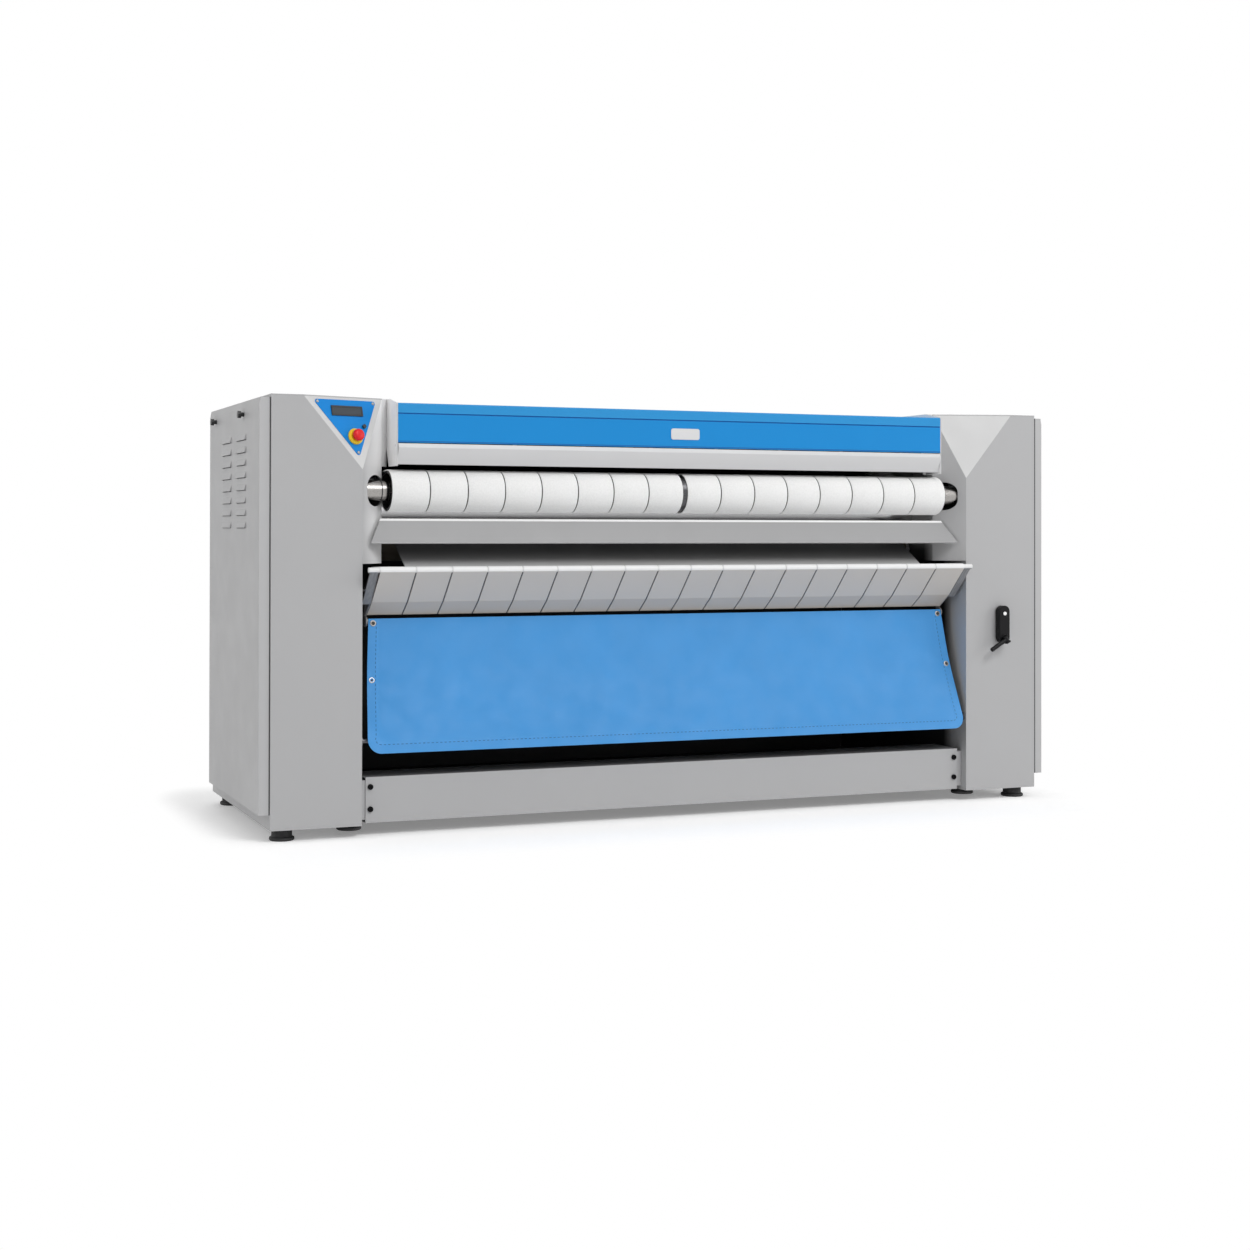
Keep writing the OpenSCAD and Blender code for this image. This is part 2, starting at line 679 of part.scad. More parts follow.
// Finger guard: a bent strip between end tabs whose pins turn in the hood's end plates
guard_t = 2.5;
guard_pin_r = 3;
guard_end = 1;
guard_y = 8;
guard_z = guard_low + guard_pivot_h;
guard_half = hood_half - guard_end;
guard_lean = 9;
guard_lip = 13;
guard_in = 12;
guard_bulge = 4;
guard_nose = hood_out + guard_bulge;
guard_top = guard_z + guard_t + guard_t;
module finger_guard() color(pale) placed() {
  across(-guard_half, guard_half) bent([[guard_in + guard_pin_r - hood_out, guard_top],
    [-hood_out, guard_top], [-guard_nose, guard_top - guard_lip + guard_t],
    [guard_lean - hood_out, guard_low], [guard_lean + guard_in, guard_low + guard_t]], guard_t);
  both() {
    across(guard_half - guard_t, guard_half) polygon([[-hood_out, guard_top], [guard_y + guard_in / 2, guard_top],
      [guard_lean + guard_in, guard_low + guard_t], [guard_lean - hood_out, guard_low],
      [-guard_nose, guard_top - guard_lip + guard_t]]);
    rod_x(guard_half - guard_t, hood_half + sheet, guard_y, guard_z, guard_pin_r);
  }
}

// Feed roller, its belts and the small roller at their back
roller_short = 2;
roller_half = work_w / 2 - roller_short;
journal_end = wall_in + chamfer - passage;
end_recess = 12;
rim_t = 6;
tube_wall = 4;
vent_r = 4;
// A hollow roller body whose inside is open to the air through its bored shaft
module roller_space(y, z, r) {
  rod_x(2 * tube_wall + end_recess - roller_half, roller_half - 2 * tube_wall - end_recess, y, z, r - tube_wall);
  rod_x(-shaft_tip - cut, shaft_tip + cut, y, z, vent_r);
}
module feed_roller() color([0.30, 0.31, 0.33]) placed() difference() {
  union() {
    difference() {
      rod_x(-roller_half, roller_half, feed_y, feed_z, feed_r);
      both() rod_x(roller_half - end_recess, roller_half + cut, feed_y, feed_z, feed_r - rim_t);
    }
    rod_x(-journal_end, journal_end, feed_y, feed_z, journal_r);
    rod_x(-shaft_tip, shaft_tip, feed_y, feed_z, shaft_r);
  }
  roller_space(feed_y, feed_z, feed_r);
}
module small_roller(at, r) difference() {
  union() {
    rod_x(-roller_half, roller_half, at[0], at[1], r);
    rod_x(-shaft_tip, shaft_tip, at[0], at[1], shaft_r);
  }
  roller_space(at[0], at[1], r);
}
module feed_return_roller() color(steel) placed() small_roller(return_at, return_r);
feed_wheels = [[feed_y, feed_z, feed_r, 1], [return_at[0], return_at[1], return_r, 1]];
feed_pitch = (roller_half - centre_gap + belt_gap) / feed_n;
module feed_belts() color(white) placed() both() for (i = [0 : feed_n - 1])
  across(centre_gap + i * feed_pitch, centre_gap + (i + 1) * feed_pitch - belt_gap)
    belt_shape(feed_wheels, 9);

// Heated cylinder, its ironing belts and their four rollers
end_disc = 8;
bore_r = 20;
module heated_cylinder() color([0.80, 0.80, 0.82]) placed() {
  half = work_w / 2;
  difference() {
    rod_x(-half, half, cyl_y, cyl_z, cyl_r, $fn = 96);
    rod_x(-half + end_disc, half - end_disc, cyl_y, cyl_z, cyl_r - cyl_wall, $fn = 96);
    rod_x(-half - cut, half + cut, cyl_y, cyl_z, bore_r);
  }
  both() difference() {
    rod_x(half - end_disc, trunnion_end, cyl_y, cyl_z, trunnion_r);
    rod_x(half - end_disc - cut, trunnion_end + cut, cyl_y, cyl_z, bore_r);
  }
}
iron_wheels = [[cyl_y, cyl_z, cyl_r, -1], [press_at[0], press_at[1], iron_r, 1],
  [out_at[0], out_at[1], iron_r, 1], [tension_at[0], tension_at[1], iron_r, 1],
  [guide_at[0], guide_at[1], iron_r, 1]];
// The loop runs from the guide roller over the press roller, back round the cylinder and out below
iron_loop = [iron_wheels[4], iron_wheels[1], iron_wheels[0], iron_wheels[2], iron_wheels[3]];
iron_gap = 6;
iron_pitch = (work_w - 2 * iron_gap) / iron_n;
module ironing_belts() color([0.90, 0.88, 0.82]) placed() for (i = [0 : iron_n - 1])
  across(i * iron_pitch - work_w / 2 + 2 * iron_gap, (i + 1) * iron_pitch - work_w / 2)
    belt_shape(iron_loop, 10);
module press_roller() color(steel) placed() small_roller(press_at, iron_r);
module outfeed_roller() color(steel) placed() small_roller(out_at, iron_r);
module rear_guide_roller() color(steel) placed() small_roller(guide_at, iron_r);
module tension_roller() color(steel) placed() small_roller(tension_at, iron_r);

// Heating rods on a core pipe that passes through the trunnions and rests on posts
pipe_r = 14;
spider_t = 6;
rod_circle = 60;
rod_short = 60;
rod_half = work_w / 2 - rod_short;
post_reach = 120;
post_r = 8;
strap_gap = 12;
strap_x = trunnion_end + strap_gap;
module heating_elements() color([0.55, 0.42, 0.36]) placed() {
  rod_x(-strap_x - spider_t, strap_x + spider_t, cyl_y, cyl_z, pipe_r);
  for (x = [-rod_half + spider_t, -spider_t / 2, rod_half - 2 * spider_t])
    rod_x(x, x + spider_t, cyl_y, cyl_z, rod_circle + 2 * rod_r);
  for (i = [0 : rod_n - 1]) let (a = 360 * i / rod_n)
    rod_x(-rod_half, rod_half, cyl_y + rod_circle * cos(a), cyl_z + rod_circle * sin(a), rod_r);
  both() {
    block([strap_x, cyl_y - pipe_r, cyl_z - post_reach - post_r],
      [strap_x + spider_t, cyl_y + pipe_r, cyl_z + post_reach + post_r]);
    for (dz = [-post_reach, post_reach])
      rod_x(bearing_x, strap_x + spider_t, cyl_y, cyl_z + dz, post_r);
  }
}

// Drive: motor and gearbox on the right base plate, chain to the cylinder's trunnion
tooth_h = 5;
hub_extra = 8;
motor_z = floor_top + gearbox / 2;
function pitch_r(n) = chain_pitch / 2 / sin(180 / n);
module toothed(n) {
  r = pitch_r(n);
  polygon([for (i = [0 : 4 * n - 1]) let (a = 90 * i / n + 45 / n, k = i % 4,
    q = k < 2 ? r + tooth_h / 2 : r - tooth_h / 2) q * [cos(a), sin(a)]]);
}
module sprocket(y, z, n, bore) translate([0, y, z]) difference() {
  union() {
    across(sprocket_x, sprocket_x + sprocket_t) toothed(n);
    rod_x(sprocket_x, sprocket_x + sprocket_t, 0, 0, bore + hub_extra);
  }
  rod_x(sprocket_x - cut, sprocket_x + sprocket_t + cut, 0, 0, bore);
}
module cylinder_sprocket() color(dark) placed() sprocket(cyl_y, cyl_z, big_teeth, trunnion_r);
drive_shaft_r = 12;
gear_x = trunnion_end + sprocket_gap;
module motor_sprocket() color(dark) placed() {
  sprocket(motor_y, motor_z, small_teeth, drive_shaft_r);
  rod_x(sprocket_x - sprocket_gap, gear_x + gearbox / 4, motor_y, motor_z, drive_shaft_r);
}
fin_n = 9;
fin_t = 3;
fin_h = 4;
module drive_motor() color([0.30, 0.36, 0.42]) placed() {
  x1 = gear_x + gearbox * 2 / 3;
  mid = (gear_x + x1) / 2;
  difference() {
    block([gear_x, motor_y - gearbox / 2, floor_top], [x1, motor_y + gearbox / 2, floor_top + gearbox]);
    rod_x(gear_x - cut, gear_x + gearbox / 4 + cut, motor_y, motor_z, drive_shaft_r + run_clear);
  }
  y0 = motor_y - gearbox / 2;
  rod_y(y0 - motor_l, y0, mid, motor_z, motor_r - fin_h);
  for (i = [0 : fin_n - 1]) let (y = y0 - motor_l + (i + 1) * motor_l / (fin_n + 1))
    rod_y(y, y + fin_t, mid, motor_z, motor_r);
  rod_y(y0 - motor_l - motor_r / 2, y0 - motor_l, mid, motor_z, motor_r);
}
chain_t = 7;
chain_wheels = [[cyl_y, cyl_z, pitch_r(big_teeth) + tooth_h / 2, 1],
  [motor_y, motor_z, pitch_r(small_teeth) + tooth_h / 2, 1]];
function widened(ws, g) = [for (w = ws) [w[0], w[1], w[2] + g, w[3]]];
chain_loop = [chain_wheels[1], chain_wheels[0]];
module drive_chain() color([0.25, 0.25, 0.26]) placed() across(sprocket_x, sprocket_x + sprocket_t)
  difference() {
    polygon(belt_line(widened(chain_loop, belt_clear + chain_t), 6));
    polygon(belt_line(widened(chain_loop, belt_clear), 6));
  }

// Exhaust fan in the left cabinet: housing, motor, wheel and spigot
fan_gap = 10;
fan_x = bearing_x + fan_gap + fan_r + fan_gap + sheet;
house_r = fan_r + fan_gap;
house_back = 143;
house_y = body_d - house_back;
house_d = 76;
fan_motor_r = 40;
fan_motor_l = 70;
fan_shaft_r = 6;
bracket_half = 25;
module fan_housing() color([0.62, 0.64, 0.66]) placed() left() {
  difference() {
    union() {
      rod_y(house_y, house_y + house_d, fan_x, fan_z, house_r);
      rod_y(house_y - fan_motor_l, house_y, fan_x, fan_z, fan_motor_r);
      block([bearing_x, house_y + sheet, fan_z - bracket_half],
        [fan_x - house_r / 2, house_y + house_d - sheet, fan_z + bracket_half]);
    }
    rod_y(house_y + sheet, house_y + house_d - sheet, fan_x, fan_z, house_r - sheet);
    rod_y(house_y + house_d - sheet - cut, house_y + house_d + cut, fan_x, fan_z, spigot_r - sheet);
    rod_y(house_y - fan_motor_l / 2, house_y + sheet + cut, fan_x, fan_z, fan_shaft_r + run_clear);
  }
}
// The spigot runs from the housing through the rear cover, with a collar against the cover
collar_t = 2;
collar_w = 8;
module exhaust_spigot() color([0.62, 0.64, 0.66]) placed() left() difference() {
  union() {
    rod_y(house_y + house_d, body_d + spigot_out, fan_x, fan_z, spigot_r);
    rod_y(body_d, body_d + collar_t, fan_x, fan_z, spigot_r + collar_w);
  }
  rod_y(house_y + house_d - cut, body_d + spigot_out + cut, fan_x, fan_z, spigot_r - sheet);
}
fan_disc = 4;
fan_side = 8;
blade_t = 3;
blade_share = 0.55;
module fan_wheel() color([0.45, 0.46, 0.48]) placed() left() {
  y0 = house_y + sheet + fan_side;
  y1 = house_y + house_d - sheet - fan_side;
  rod_y(y0, y0 + fan_disc, fan_x, fan_z, fan_r);
  rod_y(house_y - fan_motor_l / 2 + fan_disc, y0 + fan_disc, fan_x, fan_z, fan_shaft_r);
  translate([fan_x, 0, fan_z]) for (i = [0 : fan_n - 1]) rotate([0, 360 * i / fan_n, 0])
    block([fan_r * blade_share, y0, -blade_t / 2], [fan_r, y1, blade_t / 2]);
}
ebox_y = 110;
ebox_drop = 724;
ebox_z = body_h - ebox_drop;
ebox_lip = 4;
gland_n = 4;
gland_r = 9;
module electrical_box() color([0.80, 0.80, 0.78]) placed() left() {
  difference() {
    block([bearing_x, ebox_y, ebox_z], [bearing_x + ebox[0] + cut, ebox_y + ebox[1], ebox_z + ebox[2]]);
    block([bearing_x + sheet, ebox_y + sheet, ebox_z + sheet],
      [bearing_x + ebox[0], ebox_y + ebox[1] - sheet, ebox_z + ebox[2] - sheet]);
    for (i = [1 : gland_n]) translate([bearing_x + ebox[0] / 2, ebox_y + ebox[1] * i / (gland_n + 1), ebox_z - cut])
      cylinder(h = sheet + 2 * cut, r = gland_r);
  }
  block([bearing_x + ebox[0], ebox_y - ebox_lip, ebox_z - ebox_lip],
    [bearing_x + ebox[0] + ebox_lip, ebox_y + ebox[1] + ebox_lip, ebox_z + ebox[2] + ebox_lip]);
}

// Guide chute under the feed roller, with slanted ends that follow the cabinets' corners
chute_t = 2;
chute_lip = 50;
chute_hem = 5;
chute_end = face_in - chute_gap;
chute_plan = [[chute_end - chute_y_low + cut, chute_y_low - cut], [chute_end - chamfer, chamfer],
  [wall_in, chamfer], [wall_in, chute_y_top + chute_lip + cut]];
module guide_chute() color(grey) placed() intersection() {
  across(-face_in, face_in) bent([[chute_y_top + chute_lip, chute_top], [chute_y_top, chute_top],
    [chute_y_low, chute_low], [chute_y_low + chute_hem, chute_low - chute_hem / 2]], chute_t);
  linear_extrude(body_h) polygon([for (p = chute_plan) p, for (p = reversed(chute_plan)) [-p[0], p[1]]]);
}

// Screws of the chute and the control plate
screw_r = 4;
screw_h = 2;
chute_screw_in = 12;
module panel_screws() color(steel) placed() {
  both() translate([chute_end - chute_y_top - 2 * chute_screw_in,
    chute_y_top + chute_screw_in, chute_top]) cylinder(h = screw_h, r = screw_r);
  left() on_facet() for (p = plate_corners) translate([p[1], -p[0], plate_t])
    cylinder(h = screw_h, r = screw_r);
}

// Return table: bent sheet with a round nose, strips round it and a slide plate behind it
table_t = 2.5;
nose_y = nose_r + strip_t - table_out;
nose_z = table_top - nose_r;
under_angle = atan2(nose_z - bend_z, nose_y - bend_y);
slide_y = out_at[0] - slide_short;
function nose_arc(r, from, to) = [for (i = [0 : 6]) let (a = from + (to - from) * i / 6)
  [nose_y + r * cos(a), nose_z + r * sin(a)]];
nose_down = 180 + 45;
tail_up = 24;
table_mouth = 45;
table_line = concat([[table_mouth, table_top]], nose_arc(nose_r, 90, nose_down),
  [[bend_y, bend_z], [tail_y, tail_z], [tail_y, tail_z + tail_up]]);
module return_table() color(grey) placed() {
  across(-table_half, table_half) bent(table_line, table_t);
  across(-slide_half, slide_half) bent([[table_mouth, table_top - table_t], [slide_y, slide_z]], table_t);
}
strip_back = 12;
strip_line = concat([[nose_y + strip_back, table_top]], nose_arc(nose_r, 90, nose_down),
  [[bend_y, bend_z], [tail_y - strip_back / 4, tail_z + strip_back / 4 * (bend_z - tail_z) / (tail_y - bend_y)]]);
strip_pitch = (2 * table_half + strip_gap) / strip_n;
module return_strips() color([0.72, 0.72, 0.74]) placed() for (i = [0 : strip_n - 1])
  across(i * strip_pitch - table_half, (i + 1) * strip_pitch - table_half - strip_gap)
    bent(strip_line, -strip_t);

// Brackets that hang the table and the apron between the cabinets
nose_cap = 24;
side_t = 4;
wing_y = 41;
wing_drop = 93;
wing_z = table_top - wing_drop;
eye_r = 13;
eye_drop = 6;
tab_y = 30;
tab_d = 40;
tab_drop = 60;
tab_low = table_top - tab_drop;
tube_at = [apron_y_top + apron_t + belt_clear + apron_tube_r + eye_drop / 2, tail_z - eye_r - eye_drop / 2];
module table_bracket() {
  difference() {
    across(table_half, table_half + side_t) union() {
      polygon([[nose_y, table_top - nose_r], [bend_y, bend_z], [tail_y, tail_z],
        [tube_at[0] + eye_r, tube_at[1]], [tube_at[0] + eye_r, tab_low], [tab_y, table_top - table_t],
        [nose_y, table_top - table_t]]);
      translate(tube_at) circle(eye_r);
    }
    rod_x(table_half - cut, table_half + side_t + cut, tube_at[0], tube_at[1], apron_tube_r + run_clear);
  }
  rod_x(table_half, table_half + nose_cap + side_t, nose_y, nose_z, nose_r);
  across(table_half + side_t, table_half + nose_cap) bent([[nose_y, nose_z - nose_r],
    [wing_y, wing_z]], table_t);
  block([table_half + side_t, tab_y, tab_low], [face_in, tab_y + tab_d, tab_low + side_t]);
  block([face_in - side_t, tab_y, tab_low], [face_in, tab_y + tab_d, tab_low + tab_d]);
}
module table_brackets() color(pale) placed() both() table_bracket();

// Apron: a cloth over a bent tube frame that swings on its top tube and leans on two stops
apron_drop = 8;
apron_top = tail_z - apron_drop;
apron_stud_z = apron_low + apron_stud_share * (apron_top - apron_low);
apron_line = [[apron_y_top, apron_top], [apron_y_stud, apron_stud_z], [-apron_out, apron_low]];
tube_line = offset_line(apron_line, apron_t + belt_clear + apron_tube_r);
tube_inset = 14;
function half_at(z) = apron_half_low + (apron_half_top - apron_half_low) * (z - apron_low) / (apron_top - apron_low);
function corner_points(s) = [for (i = [0 : 8]) let (a = s > 0 ? -90 + 90 * i / 8 : 180 + 90 * i / 8)
  [s * (apron_half_low - apron_corner) + apron_corner * cos(a), apron_low + apron_corner + apron_corner * sin(a)]];
module apron_outline() polygon(concat(corner_points(-1), corner_points(1),
  [[apron_half_top, apron_top], [-apron_half_top, apron_top]]));
module apron_cloth() color(cloth_blue) placed() intersection() {
  across(-face_in, face_in) bent(apron_line, apron_t);
  along(-body_d, body_d) apron_outline();
}
// A straight tube between two points, and the weld bead where two tubes meet
module tube(a, b, r) {
  d = b - a;
  translate(a) rotate([0, acos(d[2] / norm(d)), atan2(d[1], d[0])]) cylinder(h = norm(d), r = r);
}
bead_share = 1.04;
module bead(at) translate(at) sphere(apron_tube_r * bead_share, $fn = 24);
hem_lift = 10;
tube_hem = tube_line[2] + hem_lift * unit(tube_line[1] - tube_line[2]);
tube_knee = tube_hem + apron_corner * unit(tube_line[1] - tube_line[2]);
module apron_frame() color(steel) placed() {
  top_x = half_at(apron_top) - tube_inset;
  mid_x = half_at(apron_stud_z) - tube_inset;
  low_x = half_at(apron_low) - tube_inset;
  rod_x(-table_half - side_t, table_half + side_t, tube_at[0], tube_at[1], apron_tube_r);
  both() {
    tube([top_x, tube_at[0], tube_at[1]], [mid_x, tube_line[1][0], tube_line[1][1]], apron_tube_r);
    tube([mid_x, tube_line[1][0], tube_line[1][1]], [low_x, tube_knee[0], tube_knee[1]], apron_tube_r);
    tube([low_x, tube_knee[0], tube_knee[1]], [low_x - apron_corner, tube_hem[0], tube_hem[1]], apron_tube_r);
    bead([mid_x, tube_line[1][0], tube_line[1][1]]);
    bead([low_x, tube_knee[0], tube_knee[1]]);
    bead([low_x - apron_corner, tube_hem[0], tube_hem[1]]);
  }
  rod_x(apron_corner - low_x, low_x - apron_corner, tube_hem[0], tube_hem[1], apron_tube_r);
}
stud_r = 8;
stud_h = 2;
stud_in = 12;
stud_drop = 12;
function apron_tilt(i) = let (d = apron_line[i + 1] - apron_line[i]) atan2(d[0], -d[1]);
module apron_stud(x, at, tilt) translate([x, at[0], at[1]]) rotate([90 + tilt, 0, 0])
  cylinder(h = stud_h, r = stud_r);
module apron_studs() color(steel) placed() both() {
  low = apron_line[1] + stud_drop * unit(apron_line[2] - apron_line[1]);
  top = apron_line[0] + stud_drop * unit(apron_line[1] - apron_line[0]);
  apron_stud(half_at(low[1]) - stud_in, low, apron_tilt(1));
  apron_stud(half_at(top[1]) - stud_in, top, apron_tilt(0));
}
stop_rise = 33;
stop_z = apron_low + stop_rise;
stop_l = 38;
stop_pin_r = 6;
stop_slope = unit(tube_line[2] - tube_line[1]);
stop_side = [-stop_slope[1], stop_slope[0]];
stop_along = (stop_z - tube_line[1][1]) / stop_slope[1];
stop_pin = tube_line[1] + stop_along * stop_slope + (apron_tube_r + stop_pin_r + belt_clear) * stop_side;
module apron_stops() color(dark) placed() both() {
  rod_x(face_in - stop_l, face_in, stop_pin[0], stop_pin[1], stop_pin_r);
  rod_x(face_in - side_t, face_in, stop_pin[0], stop_pin[1], 2 * stop_pin_r);
}

// Controls on the left facet; places are [from the outer corner inwards, down the facet]
plate_corner_r = 6;
plate_corners = [[37, 15.5], [197, 15.5], [137, 143]];
display_at = [117.8, 37.8];
stop_at = [132.5, 102.6];
start_at = [161.3, 76.1];
shank_r = 11;
stop_clear = 0.1;
start_shank_r = 3.5;
module stop_hole() translate([0, 0, -4 * sheet]) cylinder(h = 8 * sheet, r = shank_r + stop_clear + sheet / 2);
module start_hole() translate([0, 0, -4 * sheet]) cylinder(h = 8 * sheet, r = start_shank_r + stop_clear);
module on_left_facet(at) placed() left() on_facet() translate([at[1], -at[0], 0]) children();
module control_plate() color([0.09, 0.55, 0.86]) placed() left() on_facet() difference() {
  linear_extrude(plate_t) hull() for (p = plate_corners)
    translate([p[1], -p[0]]) circle(plate_corner_r, $fn = 32);
  translate([stop_at[1], -stop_at[0], 0]) stop_hole();
  translate([start_at[1], -start_at[0], 0]) start_hole();
}
bezel_h = 3;
bezel_w = 4;
module display_bezel() color(dark) on_left_facet(display_at) translate([0, 0, plate_t]) difference() {
  block([-display_h / 2, -display_w / 2, 0], [display_h / 2, display_w / 2, bezel_h]);
  block([bezel_w - display_h / 2, bezel_w - display_w / 2, bezel_h - plate_t],
    [display_h / 2 - bezel_w, display_w / 2 - bezel_w, bezel_h + cut]);
}
module display_window() color([0.16, 0.21, 0.25]) on_left_facet(display_at)
  translate([0, 0, plate_t + bezel_h - plate_t])
    block([bezel_w - display_h / 2, bezel_w - display_w / 2, 0],
      [display_h / 2 - bezel_w, display_w / 2 - bezel_w, plate_t / 2]);
ring_h = 8;
module stop_ring() color([0.98, 0.80, 0.04]) on_left_facet(stop_at) translate([0, 0, plate_t]) difference() {
  union() {
    cylinder(h = ring_h / 2, r = ring_r);
    translate([0, 0, ring_h / 2]) cylinder(h = ring_h / 2, r1 = ring_r, r2 = stop_r);
    translate([0, 0, -plate_t - 6 * sheet]) cylinder(h = plate_t + 6 * sheet + cut, r = shank_r + sheet / 2);
  }
  translate([0, 0, -big / 2]) cylinder(h = big, r = shank_r + stop_clear);
}
head_h = 9;
head_share = 0.8;
module stop_button() color([0.91, 0.14, 0.18]) on_left_facet(stop_at) {
  lift = plate_t + ring_h + stop_travel + stop_clear;
  translate([0, 0, lift]) cylinder(h = head_h, r = stop_r);
  translate([0, 0, lift + head_h]) cylinder(h = head_h / 3, r1 = stop_r, r2 = stop_r * head_share);
  translate([0, 0, -4 * sheet]) cylinder(h = 4 * sheet + lift + cut, r = shank_r);
}
cap_h = 3;
module start_button() color(dark) on_left_facet(start_at) {
  translate([0, 0, plate_t + start_travel + stop_clear]) cylinder(h = cap_h, r = start_r);
  translate([0, 0, -3 * sheet]) cylinder(h = 3 * sheet + plate_t + start_travel + cap_h, r = start_shank_r);
}

// Hand crank on the right cabinet, with a bush behind the panel and a folding grip
crank_shaft_r = 8;
bush_r = 13;
bush_l = 60;
bush_flange = 20;
crank_lift = 5;
crank_rise = 6;
crank_face = crank_lift + crank_t;
module crank_bush() color(steel) placed() difference() {
  union() {
    rod_y(0, sheet + bush_l, crank_x, crank_z, bush_r);
    rod_y(sheet, 2 * sheet, crank_x, crank_z, bush_flange);
  }
  rod_y(-cut, sheet + bush_l + cut, crank_x, crank_z, crank_shaft_r + run_clear);
}
// The grip folds on a cross pin between two ears: local x along the folded grip, z along the pin
grip_up = 5;
knuckle_r = 6.5;
knuckle_half = 6.5;
knuckle_gap = 0.5;
ear_t = 4;
grip_pin_r = 3;
grip_y = -crank_face - knuckle_gap - knuckle_r;
grip_z = crank_z - crank_arm - grip_up;
ear_in = knuckle_half + knuckle_gap / 2;
module on_fold() translate([crank_x, grip_y, grip_z]) rotate([0, 180 - grip_angle, 0]) children();
module hand_crank() color(dark) placed() {
  low_z = crank_z - crank_arm;
  rod_y(-crank_face, -crank_lift, crank_x, crank_z + crank_rise, crank_end_r);
  rod_y(-crank_face, -crank_lift, crank_x, low_z, crank_end_r);
  block([crank_x - crank_end_r, -crank_face, low_z], [crank_x + crank_end_r, -crank_lift, crank_z + crank_rise]);
  on_fold() {
    for (z = [-ear_in - ear_t, ear_in])
      block([-knuckle_r, -knuckle_r, z], [knuckle_r, knuckle_r + knuckle_gap + cut, z + ear_t]);
    translate([0, 0, -ear_in - cut]) cylinder(h = 2 * (ear_in + cut), r = grip_pin_r);
  }
  rod_y(-crank_lift - cut, bush_l, crank_x, crank_z, crank_shaft_r);
  rod_y(-crank_face - screw_h, -crank_face + cut, crank_x, crank_z, screw_r + cut);
}
grip_tip = 2;
module crank_grip() color(dark) placed() on_fold() difference() {
  union() {
    translate([0, 0, -knuckle_half]) cylinder(h = 2 * knuckle_half, r = knuckle_r);
    rotate([0, 90, 0]) cylinder(h = grip_l, r = grip_r);
    translate([grip_l, 0, 0]) rotate([0, 90, 0]) cylinder(h = grip_tip, r1 = grip_r, r2 = grip_r - grip_tip);
  }
  translate([0, 0, -knuckle_half - cut]) cylinder(h = 2 * (knuckle_half + cut), r = grip_pin_r + run_clear);
}

// Side panels: shallow trays that hook on below and are held by two knobs above
panel_out = body_half + panel_t;
panel_top = body_h - panel_drop;
panel_rear = body_d - panel_short;
panel_d = panel_rear - panel_front;
bevel_in = 3;
panel_air = 0.3;
module panel_section(i, x0) polygon([[x0, panel_low + i], [panel_out - i, panel_low + i],
  [panel_out - i, panel_top - panel_bevel], [panel_out - bevel_in - i / 2, panel_top - i],
  [x0, panel_top - i]]);
knob_drop = 41;
knob_front = 179.5;
knob_back = 91.4;
knob_y = [panel_front + knob_front, panel_rear - knob_back];
knob_z = body_h - knob_drop;
louvre_top = 95;
louvre_front = 209;
louvre_step = 181;
louvre_cols = [panel_front + louvre_front, panel_front + louvre_front + louvre_step];
module louvre(y, z) translate([panel_out, y, z]) {
  rotate([90, 0, 0]) translate([0, 0, -louvre_w / 2]) linear_extrude(louvre_w)
    polygon([[-cut, -louvre_h / 2], [louvre_out, -louvre_h / 2], [-cut, louvre_h / 2]]);
}
module side_panel() difference() {
  union() {
    difference() {
      translate([0, panel_rear, 0]) rotate([90, 0, 0]) linear_extrude(panel_d)
        panel_section(0, body_half + panel_air);
      translate([0, panel_rear - panel_wall, 0]) rotate([90, 0, 0])
        linear_extrude(panel_d - 2 * panel_wall) panel_section(panel_wall, body_half - cut);
    }
    for (y = louvre_cols) for (i = [0 : louvre_n - 1])
      louvre(y, body_h - louvre_top - i * louvre_pitch);
  }
  for (y = louvre_cols) for (i = [0 : louvre_n - 1])
    block([panel_out - panel_wall - cut, y - louvre_w / 2 + panel_wall,
      body_h - louvre_top - i * louvre_pitch - louvre_h / 2 - cut],
      [panel_out + louvre_out / 2, y + louvre_w / 2 - panel_wall,
        body_h - louvre_top - i * louvre_pitch - louvre_h / 2 + panel_wall]);
  for (y = knob_y) rod_x(panel_out - panel_wall - cut, panel_out + cut, y, knob_z, knob_shank_r + run_clear);
}
knob_shank_r = 4;
knob_neck_share = 0.6;
module left_side_panel() color(grey) placed() left() side_panel();
module right_side_panel() color(grey) placed() side_panel();
module knob(y) {
  rod_x(body_half + sheet, panel_out + panel_air, y, knob_z, knob_shank_r);
  rod_x(panel_out + panel_air, panel_out + knob_l / 2, y, knob_z, knob_r * knob_neck_share);
  rod_x(panel_out + knob_l / 2, panel_out + knob_l, y, knob_z, knob_r);
}
module left_front_knob() color(dark) placed() left() knob(knob_y[0]);
module left_rear_knob() color(dark) placed() left() knob(knob_y[1]);
module right_front_knob() color(dark) placed() knob(knob_y[0]);
module right_rear_knob() color(dark) placed() knob(knob_y[1]);

